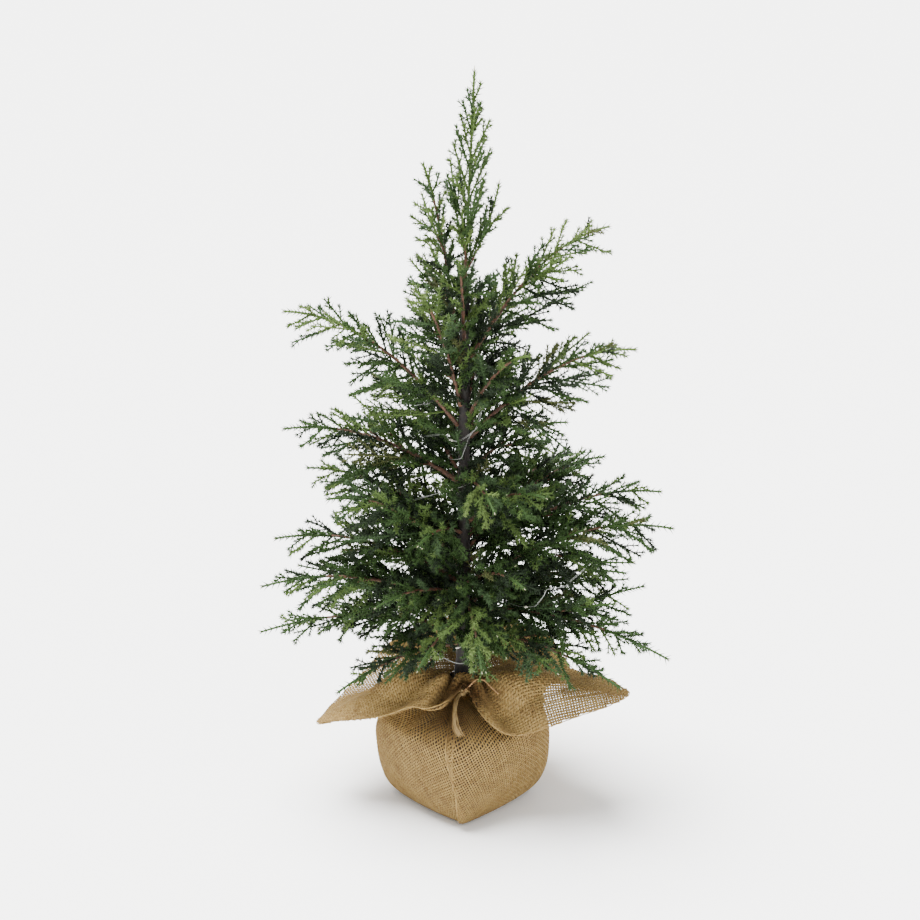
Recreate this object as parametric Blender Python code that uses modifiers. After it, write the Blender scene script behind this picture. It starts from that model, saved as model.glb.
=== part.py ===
"""Small artificial cedar sapling on a burlap-wrapped root ball.

The tree stands on the flat underside of its root ball. A tapered trunk rises from the gathered
neck of the wrap to a leader. Boughs leave the trunk in loose tiers, and each carries one mass of
cedar sprays. The wrap is tied under the trunk with twine, and its free cloth flares out above the
tie, with a pointed wing to the left and to the right.

Metres, +Z up. The origin is the centre of the flat underside, and the front of the tree faces -Y.
"""

import math
import random

import bmesh
import bpy
import numpy as np
from mathutils import Matrix, Vector

# ---- driving dimensions ------------------------------------------------------------------------
TREE_TOP = 0.610  # height of the leader's tip
CLEAR = 0.0003  # gap between pieces that touch
TWIG_CLEAR = 0.0003  # gap that a twig keeps to its space's edge

# Root ball: a square bundle set corner-on to the front, bulging above its flat foot.
# Each row is the height of a section, half its diagonal, and its roundness: 1 is a square with
# its corners on X and Y, and 2 is a circle.
BALL_SECTIONS = (
    (0.000, 0.0520, 1.18),
    (0.003, 0.0570, 1.18),
    (0.010, 0.0635, 1.22),
    (0.024, 0.0695, 1.28),
    (0.046, 0.0725, 1.36),
    (0.064, 0.0720, 1.44),
    (0.077, 0.0670, 1.55),
    (0.088, 0.0545, 1.70),
    (0.0945, 0.0340, 1.85),
    (0.0985, 0.0150, 2.00),
    (0.107, 0.0150, 2.00),
)
BALL_SIDES = 28
NECK_TOP = BALL_SECTIONS[-1][0]
NECK_RADIUS = BALL_SECTIONS[-1][1]

# Flare: the cloth above the tie. Each row is an azimuth in degrees from +X, the reach of the edge
# there, and the edge's height. Rows stand closer together where the cloth is ruffled.
CLOTH = 0.0014
THROAT_RADIUS = 0.0130
THROAT_LIFT = 0.0095  # how far the cloth rises before it turns outwards
FLARE_SIDES = 54
FLARE_ROWS = 4
FLARE_EDGE = (
    (5, 0.122, 0.099),
    (20, 0.101, 0.096),
    (38, 0.103, 0.104),
    (50, 0.114, 0.106),
    (65, 0.109, 0.110),
    (80, 0.106, 0.108),
    (92, 0.112, 0.110),
    (104, 0.105, 0.111),
    (121, 0.098, 0.108),
    (135, 0.093, 0.104),
    (150, 0.095, 0.091),
    (166, 0.106, 0.077),
    (180, 0.116, 0.072),
    (187, 0.122, 0.070),
    (194, 0.106, 0.080),
    (202, 0.091, 0.086),
    (210, 0.078, 0.091),
    (218, 0.069, 0.095),
    (227, 0.062, 0.101),
    (238, 0.057, 0.101),
    (248, 0.052, 0.104),
    (256, 0.046, 0.107),
    (263, 0.034, 0.110),
    (271, 0.027, 0.113),
    (279, 0.032, 0.110),
    (284, 0.047, 0.100),
    (290, 0.060, 0.093),
    (297, 0.066, 0.086),
    (306, 0.070, 0.081),
    (315, 0.079, 0.083),
    (323, 0.090, 0.092),
    (334, 0.104, 0.097),
    (343, 0.126, 0.102),
    (349, 0.138, 0.104),
    (356, 0.130, 0.102),
)
# Folds that run out from the throat. Each row is an azimuth, half a fold's width in degrees, how
# far it rises, or with a minus how far it sinks, and how far it leans round the tree.
FLARE_FOLDS = (
    (15, 12, -0.003, 0.0),
    (55, 14, 0.005, 0.0),
    (90, 12, -0.004, 0.0),
    (125, 14, 0.005, 0.0),
    (165, 12, -0.004, 0.0),
    (190, 12, 0.008, 0.0),
    (210, 8, -0.004, 0.0),
    (226, 9, 0.006, 0.006),
    (243, 9, -0.009, 0.0),
    (259, 6, 0.003, 0.0),
    (287, 8, 0.004, 0.004),
    (307, 11, -0.0068, 0.0),
    (335, 14, 0.005, 0.0),
)

# Twine: wound on the neck under the flare, with a knot in front and two tails.
TWINE = 0.0021  # thickness
TIE_HEIGHT = 0.1028
TIE_RADIUS = NECK_RADIUS + CLEAR + 0.0013
KNOT_RADIUS = 0.0034
KNOT_OUT = 0.0030  # how far the knot stands out from the winding
TAIL_OUT = 0.0017  # how far the hanging tail's middle keeps from the ball
TAIL_SECTIONS = 2  # how many of the ball's sections it hangs over, down from the neck
SHORT_TAIL = 0.022

# Trunk
TRUNK_FOOT = NECK_TOP + CLEAR
TRUNK_TOP = 0.446
TRUNK_FOOT_RADIUS = 0.0075
TRUNK_LOW_RADIUS = 0.0058  # just above the spread of the foot
TRUNK_SPREAD = 0.06  # share of the trunk that the spread takes up
TRUNK_TOP_RADIUS = 0.0036
TRUNK_LEAN = 0.0015  # how far the top stands to the right of the foot
LEADER_LEAN = 0.0085  # and how far the leader's tip does

# Boughs, from the lowest up: a plain name, azimuth in degrees from +X, height of its foot on the
# trunk, reach from the trunk's axis, and height of its tip. A True marks a main bough, whose bare
# limb is a piece of its own.
BOUGHS = (
    ("low_left", 172, 0.150, 0.172, 0.136, True),
    ("low_front_left", 212, 0.138, 0.120, 0.122, False),
    ("low_front_right", 325, 0.148, 0.152, 0.138, True),
    ("low_right", 340, 0.168, 0.175, 0.150, True),
    ("low_front", 278, 0.186, 0.106, 0.160, False),
    ("low_front_centre", 245, 0.162, 0.086, 0.148, False),
    ("low_back_right", 62, 0.146, 0.148, 0.150, True),
    ("low_back", 96, 0.158, 0.158, 0.166, True),
    ("low_back_left", 134, 0.146, 0.152, 0.152, True),
    ("lower_left", 190, 0.172, 0.165, 0.200, True),
    ("lower_side_right", 20, 0.174, 0.148, 0.178, True),
    ("lower_front_left", 222, 0.184, 0.094, 0.196, False),
    ("lower_front_right", 300, 0.194, 0.096, 0.221, False),
    ("lower_side_left", 178, 0.194, 0.154, 0.228, True),
    ("lower_right", 352, 0.190, 0.170, 0.248, True),
    ("lower_back", 80, 0.210, 0.138, 0.232, False),
    ("lower_back_left", 118, 0.202, 0.140, 0.226, False),
    ("middle_right", 6, 0.212, 0.163, 0.264, True),
    ("middle_left", 205, 0.214, 0.118, 0.283, False),
    ("middle_back_right", 48, 0.232, 0.150, 0.264, True),
    ("middle_side_right", 26, 0.224, 0.132, 0.280, False),
    ("middle_side_left", 154, 0.230, 0.146, 0.268, True),
    ("middle_front_left", 242, 0.238, 0.076, 0.250, False),
    ("middle_front_right", 315, 0.247, 0.092, 0.289, False),
    ("middle_back", 102, 0.252, 0.132, 0.296, False),
    ("upper_left", 171, 0.280, 0.148, 0.316, True),
    ("upper_front", 286, 0.284, 0.088, 0.284, False),
    ("upper_side_right", 36, 0.288, 0.108, 0.308, False),
    ("upper_back_left", 132, 0.286, 0.118, 0.344, False),
    ("upper_back", 74, 0.304, 0.106, 0.358, False),
    ("upper_right", 355, 0.318, 0.136, 0.393, False),
    ("high_left", 185, 0.328, 0.140, 0.424, False),
    ("high_front_right", 318, 0.338, 0.070, 0.398, False),
    ("high_front_left", 236, 0.346, 0.066, 0.452, False),
    ("high_back_right", 60, 0.348, 0.084, 0.430, False),
    ("high_back", 112, 0.366, 0.074, 0.458, False),
    ("high_right", 8, 0.384, 0.115, 0.484, False),
    ("top_left", 156, 0.392, 0.034, 0.534, False),
    ("top_front", 265, 0.400, 0.036, 0.470, False),
)
ARCH_BY_REACH = 0.08  # a bough bows up above its chord by this share of its reach
ARCH_BY_RISE = 0.12  # and by this share of its rise
LINE_POINTS = 9
LIMB_STEPS = 2  # a main bough's bare limb, in eighths of its length
LIMB_FOOT_RADIUS = 0.0023
LIMB_TIP_RADIUS = 0.0015

# Foliage: how the twigs branch. Angles are in degrees. A spray is a shoot with its side twigs, as
# one toothed blade that is thickest along its spine.
STEM_RADIUS = 0.0015
STEM_TIP_RADIUS = 0.0007
SPRAY_GAP = 0.0150
SPRAY_CROWDING = 1.25  # above 1, sprays stand closer together towards the stem's foot
SPRAY_TAPER = 0.80  # how much shorter sprays are at the stem's tip than at its foot
SPRAY_ANGLE = 38
SPRAY_LENGTH = 0.058
SPRAY_PAST = 0.004  # how far a spray may reach past its stem's tip
SPRAY_TURN = 137.5  # from one spray to the next, round the stem
SPRAY_HALF_WIDTH = 0.0010
SPRAY_HALF_THICKNESS = 0.0006
BARE_TIP = 0.014  # the last stretch of a stem, which has no sprays
TOOTH_ANGLE = 34
TOOTH_SHARE = 0.36  # length of a spray's first tooth, as a share of the spray's
LONG_SPRAY = 0.026  # a longer spray has three teeth to a side, and a shorter one two
# Shares of a spray's full length and of its lean from the stem that are tried until one fits.
TRIES = ((1.0, 1.0), (0.9, 0.6), (0.7, 1.0), (0.7, 0.6), (0.5, 1.0), (0.5, 0.6), (0.35, 0.8))
TOOTH_TRIES = (1.0, 0.65, 0.35, 0.12)
LEADER_SPRAY_GAP = 0.0118
LEADER_SPRAY_ANGLE = 24
LEADER_SPRAY_LENGTH = 0.060
SEED = 7

TAU = math.tau
UP = Vector((0, 0, 1))


# ---- scene, materials and objects --------------------------------------------------------------
def clear_scene():
    for obj in list(bpy.data.objects):
        bpy.data.objects.remove(obj)


def collection_named(name):
    made = bpy.data.collections.new(name)
    bpy.context.scene.collection.children.link(made)
    return made


def material_named(name, colour, roughness, metallic=0.0):
    material = bpy.data.materials.new(name)
    material.use_nodes = True
    shader = material.node_tree.nodes["Principled BSDF"]
    shader.inputs["Base Color"].default_value = (*colour, 1.0)
    shader.inputs["Roughness"].default_value = roughness
    shader.inputs["Metallic"].default_value = metallic
    return material


def object_from_bmesh(name, shape, material, collection, smooth=False):
    bmesh.ops.recalc_face_normals(shape, faces=shape.faces)
    mesh = bpy.data.meshes.new(name)
    shape.to_mesh(mesh)
    shape.free()
    if smooth:
        mesh.shade_smooth()
    mesh.materials.append(material)
    obj = bpy.data.objects.new(name, mesh)
    collection.objects.link(obj)
    return obj


def applied(obj):
    """The object's evaluated mesh, in place of its modifiers."""
    graph = bpy.context.evaluated_depsgraph_get()
    mesh = bpy.data.meshes.new_from_object(obj.evaluated_get(graph))
    obj.modifiers.clear()
    obj.data = mesh
    return obj


def tube(name, points, radii, material, collection, section=None, bevel_resolution=2):
    """A tapering limb as a curve, round, or with another curve as its section."""
    curve = bpy.data.curves.new(name, "CURVE")
    curve.dimensions = "3D"
    curve.use_fill_caps = True
    if section:
        curve.bevel_mode = "OBJECT"
        curve.bevel_object = section
    else:
        curve.bevel_depth = 1.0
        curve.bevel_resolution = bevel_resolution
    spline = curve.splines.new("POLY")
    spline.points.add(len(points) - 1)
    for point, place, radius in zip(spline.points, points, radii):
        point.co = (*place, 1.0)
        point.radius = radius
    curve.materials.append(material)
    obj = bpy.data.objects.new(name, curve)
    collection.objects.link(obj)
    return obj


def three_sided(collection):
    """The section of a twig: a triangle that reaches 1 from its middle."""
    curve = bpy.data.curves.new("twig_section", "CURVE")
    curve.dimensions = "2D"
    spline = curve.splines.new("POLY")
    spline.points.add(2)
    for k, point in enumerate(spline.points):
        point.co = (math.cos(TAU * k / 3), math.sin(TAU * k / 3), 0, 1)
    spline.use_cyclic_u = True
    obj = bpy.data.objects.new("twig_section", curve)
    obj.hide_render = True
    obj.display_type = "WIRE"
    collection.objects.link(obj)
    return obj


def meshed(obj):
    """A curve object made a closed mesh, as a bmesh. The curve is removed."""
    graph = bpy.context.evaluated_depsgraph_get()
    mesh = bpy.data.meshes.new_from_object(obj.evaluated_get(graph))
    shape = bmesh.new()
    shape.from_mesh(mesh)
    shape.transform(obj.matrix_world)
    bmesh.ops.remove_doubles(shape, verts=shape.verts, dist=1e-6)
    bpy.data.objects.remove(obj)
    bpy.data.meshes.remove(mesh)
    return shape


def union_of(name, pieces, material, collection):
    """One closed body from overlapping closed pieces, each given as a bmesh."""
    members = collection_named(name + "_members")
    first = object_from_bmesh(name, pieces[0], material, collection)
    for i, piece in enumerate(pieces[1:]):
        object_from_bmesh(f"{name}_member_{i}", piece, material, members)
    join = first.modifiers.new("join", "BOOLEAN")
    join.operation = "UNION"
    join.operand_type = "COLLECTION"
    join.collection = members
    join.solver = "MANIFOLD"
    applied(first)
    for obj in list(members.objects):
        bpy.data.objects.remove(obj)
    bpy.data.collections.remove(members)
    return first


# ---- shapes ------------------------------------------------------------------------------------
def frame_along(direction):
    """Two unit vectors square to a direction and to each other, the second one as upright as it can be."""
    direction = direction.normalized()
    side = direction.cross(UP)
    if side.length < 1e-4:
        side = direction.cross(Vector((0, 1, 0)))
    side.normalize()
    return side, side.cross(direction)


def lofted(rings, close_ends=True):
    """A bmesh skinned over rings of points of equal count, each ring closed on itself."""
    shape = bmesh.new()
    rows = [[shape.verts.new(p) for p in ring] for ring in rings]
    count = len(rows[0])
    for low, high in zip(rows, rows[1:]):
        for i in range(count):
            j = (i + 1) % count
            shape.faces.new((low[i], low[j], high[j], high[i]))
    if close_ends:
        shape.faces.new(rows[0])
        shape.faces.new(rows[-1])
    return shape


def blade_stations(teeth):
    """Shares of a blade's length at which its notches stand, from its foot on."""
    first, last = (0.20, 0.74)
    return [first + (last - first) * k / teeth for k in range(teeth + 1)]


def blade(foot, along, across, tooth_tips):
    """A spray: a flat blade with the same number of teeth to each side, closed over a raised spine."""
    shape = bmesh.new()
    teeth = len(tooth_tips[0])
    over = SPRAY_HALF_THICKNESS * along.cross(across).normalized()
    beside = SPRAY_HALF_WIDTH * across
    stations = [foot + share * along for share in blade_stations(teeth)]
    start = shape.verts.new(foot)
    end = shape.verts.new(foot + along)
    spines = [[shape.verts.new(p + sign * over) for p in stations] for sign in (1, -1)]
    for side, tips in zip((1, -1), tooth_tips):
        notches = [shape.verts.new(p + side * beside) for p in stations]
        points = [shape.verts.new(p) for p in tips]
        for sign, spine in zip((1, -1), spines):
            loops = [(start, notches[0], spine[0]), (spine[-1], notches[-1], end)]
            for k in range(teeth):
                loops.append((spine[k], notches[k], points[k]))
                loops.append((spine[k], points[k], spine[k + 1]))
                loops.append((spine[k + 1], points[k], notches[k + 1]))
            for loop in loops:
                shape.faces.new(loop if side * sign > 0 else loop[::-1])
    return shape


# ---- the root ball and its wrap ----------------------------------------------------------------
def ball_reach(turn, half_diagonal, roundness):
    """How far a section of the root ball reaches at an azimuth in radians."""
    across = abs(math.cos(turn)) ** roundness + abs(math.sin(turn)) ** roundness
    return half_diagonal / across ** (1 / roundness)


def make_root_ball(material, collection):
    rings = []
    for height, half_diagonal, roundness in BALL_SECTIONS:
        ring = []
        for i in range(BALL_SIDES):
            turn = TAU * i / BALL_SIDES
            reach = ball_reach(turn, half_diagonal, roundness)
            ring.append(Vector((reach * math.cos(turn), reach * math.sin(turn), height)))
        rings.append(ring)
    return object_from_bmesh("root_ball", lofted(rings), material, collection, smooth=True)


def smooth_between(rows, at, column):
    """A column of the rows at an azimuth in degrees, by a curve through the rows that closes."""
    count = len(rows)
    angles = [row[0] for row in rows]
    at = angles[0] + (at - angles[0]) % 360
    i = max(k for k in range(count) if angles[k] <= at)
    following = angles[(i + 1) % count] + (360 if i + 1 == count else 0)
    share = (at - angles[i]) / (following - angles[i])
    p0, p1, p2, p3 = (rows[(i + k) % count][column] for k in (-1, 0, 1, 2))
    cubic = -p0 + 3 * p1 - 3 * p2 + p3
    square = 2 * p0 - 5 * p1 + 4 * p2 - p3
    return 0.5 * (2 * p1 + (p2 - p0) * share + square * share**2 + cubic * share**3)


def flare_azimuth(turn):
    """Azimuth at a share of the way round the flare, which passes its edge's rows evenly."""
    azimuths = [row[0] for row in FLARE_EDGE] + [FLARE_EDGE[0][0] + 360]
    place = turn * (len(azimuths) - 1)
    i = min(int(place), len(azimuths) - 2)
    return azimuths[i] + (azimuths[i + 1] - azimuths[i]) * (place - i)


def flare_point(azimuth, share):
    """A point of the flare's middle surface: share is 0 at the throat and 1 at the edge."""
    turn = math.radians(azimuth)
    outward = Vector((math.cos(turn), math.sin(turn), 0))
    edge_reach = smooth_between(FLARE_EDGE, azimuth, 1)
    edge_height = smooth_between(FLARE_EDGE, azimuth, 2)
    reach = THROAT_RADIUS + (edge_reach - THROAT_RADIUS) * share
    throat_height = NECK_TOP + CLEAR
    lift = THROAT_LIFT * math.sin(math.pi * min(1.0, share * 1.6)) if share < 0.625 else 0
    height = throat_height + (edge_height - throat_height) * share**1.4 + lift
    aside = 0.0
    for fold, half_width, rise, lean in FLARE_FOLDS:
        beside = (azimuth - fold + 180) % 360 - 180
        part = math.exp(-((beside / half_width) ** 2)) * math.sin(math.pi * share)
        height += rise * part
        aside += lean * part
    return reach * outward + aside * UP.cross(outward) + height * UP


def make_flare(material, collection):
    shape = bmesh.new()
    bmesh.ops.create_grid(shape, x_segments=FLARE_SIDES, y_segments=FLARE_ROWS, size=0.5)
    for vert in shape.verts:
        vert.co = flare_point(flare_azimuth(vert.co.x + 0.5), vert.co.y + 0.5)
    bmesh.ops.remove_doubles(shape, verts=shape.verts, dist=1e-6)
    flare = object_from_bmesh("burlap_flare", shape, material, collection, smooth=True)
    if flare.data.polygons[0].normal.z < 0:
        flare.data.flip_normals()
    wall = flare.modifiers.new("cloth", "SOLIDIFY")
    wall.thickness = CLOTH
    wall.offset = 1.0
    return applied(flare)


def hanging_tail(knot_at):
    """The line of the tail that hangs over the ball's front corner, down from the knot."""
    profile = [Vector((row[1], row[0])) for row in BALL_SECTIONS[:-1]]
    line = [knot_at]
    for i in range(len(profile) - 2, len(profile) - 2 - TAIL_SECTIONS, -1):
        along = profile[i + 1] - profile[i - 1]
        normal = Vector((along.y, -along.x)).normalized()
        out, height = profile[i] + TAIL_OUT * normal
        if normal.x < 0:
            out, height = profile[i] - TAIL_OUT * normal
        line.append(Vector((0, -out, height)))
    return line


def winding():
    """The twine's turns round the neck, as one flattened ring."""
    bpy.ops.mesh.primitive_torus_add(
        major_segments=20,
        minor_segments=6,
        major_radius=TIE_RADIUS,
        minor_radius=0.5 * TWINE,
        location=(0, 0, 0),
    )
    ring = bpy.context.object
    shape = bmesh.new()
    shape.from_mesh(ring.data)
    bmesh.ops.scale(shape, vec=(1, 1, 2), verts=shape.verts)
    bmesh.ops.translate(shape, vec=(0, 0, TIE_HEIGHT), verts=shape.verts)
    bpy.data.objects.remove(ring)
    return shape


def make_twine(material, collection):
    knot_at = Vector((0, -TIE_RADIUS - KNOT_OUT, TIE_HEIGHT))
    knot = bmesh.new()
    place = Matrix.Translation(knot_at)
    bmesh.ops.create_icosphere(knot, subdivisions=1, radius=KNOT_RADIUS, matrix=place)
    short = []
    for i in range(4):
        share = i / 3
        short.append(knot_at + SHORT_TAIL * Vector((0.55 * share, -0.8 * share, -0.10 * share**2)))
    pieces = [winding(), knot]
    for line in (hanging_tail(knot_at), short):
        radii = [0.5 * TWINE] * len(line)
        pieces.append(meshed(tube("tail", line, radii, material, collection, bevel_resolution=1)))
    return union_of("twine_tie", pieces, material, collection)


# ---- trunk and boughs --------------------------------------------------------------------------
def trunk_centre(height):
    share = (height - TRUNK_FOOT) / (TRUNK_TOP - TRUNK_FOOT)
    lean = max(0.0, (share - TRUNK_SPREAD) / (1 - TRUNK_SPREAD))
    return Vector((TRUNK_LEAN * lean, 0, height))


def trunk_radius(height):
    share = (height - TRUNK_FOOT) / (TRUNK_TOP - TRUNK_FOOT)
    spread = (TRUNK_FOOT_RADIUS - TRUNK_LOW_RADIUS) * max(0.0, 1 - share / TRUNK_SPREAD)
    return TRUNK_LOW_RADIUS + (TRUNK_TOP_RADIUS - TRUNK_LOW_RADIUS) * share + spread


def make_trunk(material, collection):
    centres, radii = [], []
    for share in (0, 0.5 * TRUNK_SPREAD, TRUNK_SPREAD, 0.3, 0.6, 0.8, 1.0):
        height = TRUNK_FOOT + share * (TRUNK_TOP - TRUNK_FOOT)
        centres.append(trunk_centre(height))
        radii.append(trunk_radius(height))
    return tube("trunk", centres, radii, material, collection, bevel_resolution=3)


class Bough:
    """A bough's line, from the trunk's surface to its tip, and what stands on it."""

    def __init__(self, name, azimuth, foot_height, reach, tip_height, main):
        self.name = name
        self.main = main
        turn = math.radians(azimuth)
        outward = Vector((math.cos(turn), math.sin(turn), 0))
        rise = tip_height - foot_height
        self.arch = ARCH_BY_REACH * reach + ARCH_BY_RISE * max(rise, 0)
        self.slope = math.atan2(rise + 4 * self.arch, reach)
        thick = LIMB_FOOT_RADIUS if main else STEM_RADIUS
        start = trunk_radius(foot_height) + CLEAR + thick * abs(math.sin(self.slope))
        foot = trunk_centre(foot_height) + start * outward
        tip = Vector((0, 0, tip_height)) + reach * outward
        self.points = []
        for i in range(LINE_POINTS):
            share = i / (LINE_POINTS - 1)
            bow = 4 * self.arch * share * (1 - share)
            self.points.append(foot.lerp(tip, share) + bow * UP)
        self.length = sum((b - a).length for a, b in zip(self.points, self.points[1:]))
        self.limb_steps = LIMB_STEPS if main else 0

    def at(self, share):
        place = min(max(share, 0.0), 1.0) * (LINE_POINTS - 1)
        i = min(int(place), LINE_POINTS - 2)
        return self.points[i].lerp(self.points[i + 1], place - i)

    def heading(self, share):
        return (self.at(share + 0.04) - self.at(share - 0.04)).normalized()


def leader_line():
    """The leader runs on from the trunk's top, as a bough of its own."""
    leader = Bough("leader", 20, TRUNK_TOP, LEADER_LEAN, TREE_TOP, False)
    foot = trunk_centre(TRUNK_TOP) + 1.3 * CLEAR * UP
    tip = Vector((LEADER_LEAN, 0, TREE_TOP))
    leader.points = [foot.lerp(tip, i / (LINE_POINTS - 1)) for i in range(LINE_POINTS)]
    leader.length = (tip - foot).length
    return leader


def even_radii(first, last, count):
    return [first + (last - first) * i / (count - 1) for i in range(count)]


def make_limb(bough, material, collection):
    points = bough.points[: LIMB_STEPS + 1]
    radii = even_radii(LIMB_FOOT_RADIUS, LIMB_TIP_RADIUS, len(points))
    return tube("bough_" + bough.name, points, radii, material, collection, bevel_resolution=1)


# ---- foliage -----------------------------------------------------------------------------------
class Space:
    """Which place belongs to which bough, so that no two masses of foliage meet."""

    def __init__(self, boughs):
        self.lines = np.array([[tuple(p) for p in bough.points] for bough in boughs])

    def distances(self, points):
        """Distance from each point to each bough's line."""
        start = self.lines[:, :-1]
        along = self.lines[:, 1:] - start
        offset = points[:, None, None] - start[None]
        share = (offset * along).sum(-1) / (along * along).sum(-1)
        nearest = start + np.clip(share, 0, 1)[..., None] * along
        return np.linalg.norm(points[:, None, None] - nearest, axis=-1).min(-1)

    def holds(self, owner, points, radius):
        """Whether points of a spray stay in its bough's space, clear of trunk, limbs and wrap."""
        room = radius + TWIG_CLEAR
        apart = self.distances(np.array([tuple(p) for p in points]))
        own = apart[:, owner]
        others = np.delete(apart, owner, axis=1).min(1)
        if (others - own < 2 * room).any() or (others < room + LIMB_FOOT_RADIUS).any():
            return False
        for point in points:
            height = point.z
            to_trunk = math.hypot(point.x - trunk_centre(height).x, point.y)
            if height < TRUNK_TOP + room and to_trunk < trunk_radius(height) + 2 * room:
                return False
            if height < wrap_height(point.x, point.y) + CLOTH + 2 * room:
                return False
        return True


def wrap_height(x, y):
    """Height of the flare over a place, or of nothing where it does not reach."""
    azimuth = math.degrees(math.atan2(y, x))
    edge = smooth_between(FLARE_EDGE, azimuth, 1)
    share = (math.hypot(x, y) - THROAT_RADIUS) / (edge - THROAT_RADIUS)
    return flare_point(azimuth, min(max(share, 0.0), 1.0)).z if share < 1.08 else 0.0


def turned(direction, about, degrees):
    return Matrix.Rotation(math.radians(degrees), 3, about) @ direction


def grow(bough, owner, space, chance):
    """The sprays of one mass, each as what blade() takes, in order along the stem."""
    sprays = []
    leader = bough.name == "leader"
    gap, angle, longest = (SPRAY_GAP, SPRAY_ANGLE, SPRAY_LENGTH)
    if leader:
        gap, angle, longest = (LEADER_SPRAY_GAP, LEADER_SPRAY_ANGLE, LEADER_SPRAY_LENGTH)
    start = max(bough.limb_steps / (LINE_POINTS - 1), 0.06) + 0.02
    last = 1 - BARE_TIP / bough.length
    count = max(4, round(bough.length * (last - start) / gap))
    for i in range(count):
        share = start + (last - start) * (i / (count - 1)) ** SPRAY_CROWDING
        foot = bough.at(share)
        heading = bough.heading(share)
        lift = frame_along(heading)[1]
        outward = turned(lift, heading, SPRAY_TURN * i + chance.uniform(-25, 25))
        lean = math.radians(angle + chance.uniform(-7, 7))
        full = longest * min(1.0, 0.5 + bough.length / 0.3) * (1 - SPRAY_TAPER * share)
        full *= chance.uniform(0.88, 1.12)
        full = min(full, (1 - share) * bough.length + SPRAY_PAST)
        twist = chance.uniform(-60, 60)
        for length_share, lean_share in TRIES:
            tilt = lean_share * lean
            along = length_share * full * (math.cos(tilt) * heading + math.sin(tilt) * outward)
            spine = [foot + k / 6 * along for k in range(1, 7)]
            if space.holds(owner, spine, SPRAY_HALF_WIDTH):
                across = turned(heading.cross(along).normalized(), along, twist)
                tips = [teeth_beside(foot, along, side * across, owner, space) for side in (1, -1)]
                sprays.append((foot, along, across, tips))
                break
    return sprays


def teeth_beside(foot, along, across, owner, space):
    """Tips of the teeth on one side of a spray, each as long as its space allows."""
    length = along.length
    ahead = along.normalized()
    teeth = 3 if length > LONG_SPRAY else 2
    shares = blade_stations(teeth)
    lean = math.radians(TOOTH_ANGLE)
    direction = math.cos(lean) * ahead + math.sin(lean) * across
    tips = []
    for k in range(teeth):
        root = foot + 0.5 * (shares[k] + shares[k + 1]) * along
        reach = TOOTH_SHARE * length * (1 - 0.7 * shares[k])
        for part in TOOTH_TRIES:
            tip = root + (SPRAY_HALF_WIDTH + part * reach) * direction
            if space.holds(owner, [root.lerp(tip, 0.5), tip], SPRAY_HALF_THICKNESS):
                break
        tips.append(tip)
    return tips


def make_foliage(bough, owner, space, section, material, collection):
    points = bough.points[bough.limb_steps :]
    if bough.main:
        points[0] = points[0] + 1.4 * CLEAR * (points[1] - points[0]).normalized()
    radii = even_radii(STEM_RADIUS, STEM_TIP_RADIUS, len(points))
    pieces = [meshed(tube("stem", points, radii, material, collection, section))]
    chance = random.Random(SEED + owner)
    pieces += [blade(*spray) for spray in grow(bough, owner, space, chance)]
    return union_of("foliage_" + bough.name, pieces, material, collection)


# ---- the whole plant ---------------------------------------------------------------------------
def main():
    clear_scene()
    tree = collection_named("cedar_sapling")
    guides = collection_named("guides")
    burlap = material_named("burlap", (0.46, 0.33, 0.17), 0.95)
    jute = material_named("jute_twine", (0.55, 0.42, 0.24), 0.9)
    bark = material_named("bark", (0.09, 0.055, 0.04), 0.85)
    cedar = material_named("cedar_foliage", (0.045, 0.105, 0.04), 0.6)
    make_root_ball(burlap, tree)
    make_flare(burlap, tree)
    make_twine(jute, tree)
    make_trunk(bark, tree)
    boughs = [Bough(*row) for row in BOUGHS] + [leader_line()]
    space = Space(boughs)
    section = three_sided(guides)
    for owner, bough in enumerate(boughs):
        if bough.main:
            make_limb(bough, bark, tree)
        make_foliage(bough, owner, space, section, cedar, tree)


main()
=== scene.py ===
"""Artificial cedar tree on a burlap-wrapped base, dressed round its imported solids."""
import math

import bmesh
import bpy
import numpy as np
from bpy.props import FloatProperty, FloatVectorProperty, PointerProperty
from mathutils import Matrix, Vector


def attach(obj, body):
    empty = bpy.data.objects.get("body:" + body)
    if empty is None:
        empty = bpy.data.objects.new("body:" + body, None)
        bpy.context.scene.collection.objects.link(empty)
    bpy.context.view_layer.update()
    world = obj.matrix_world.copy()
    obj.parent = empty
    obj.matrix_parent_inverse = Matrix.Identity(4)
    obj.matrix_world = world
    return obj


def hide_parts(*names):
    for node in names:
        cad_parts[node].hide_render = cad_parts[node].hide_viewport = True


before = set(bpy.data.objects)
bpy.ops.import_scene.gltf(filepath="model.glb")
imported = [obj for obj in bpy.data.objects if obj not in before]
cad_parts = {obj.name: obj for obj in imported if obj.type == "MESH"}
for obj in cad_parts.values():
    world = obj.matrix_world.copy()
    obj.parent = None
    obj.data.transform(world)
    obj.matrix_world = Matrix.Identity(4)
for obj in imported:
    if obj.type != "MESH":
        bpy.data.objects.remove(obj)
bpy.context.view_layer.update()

bl_info = {
    "name": "Cedar tree on a burlap base",
    "version": (1, 0, 0),
    "blender": (4, 5, 0),
    "location": "View3D > Sidebar > Cedar",
    "description": "Builds an artificial cedar with its burlap wrap, twine and light wire",
    "category": "Object",
}

BODY = "root"
TAU = math.tau
UPRIGHT = np.array((0.0, 0.0, 1.0))

# ---- the tree's lines, as its solids have them -------------------------------------------------
TREE_TOP = 0.610
CLEAR = 0.0003
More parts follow.
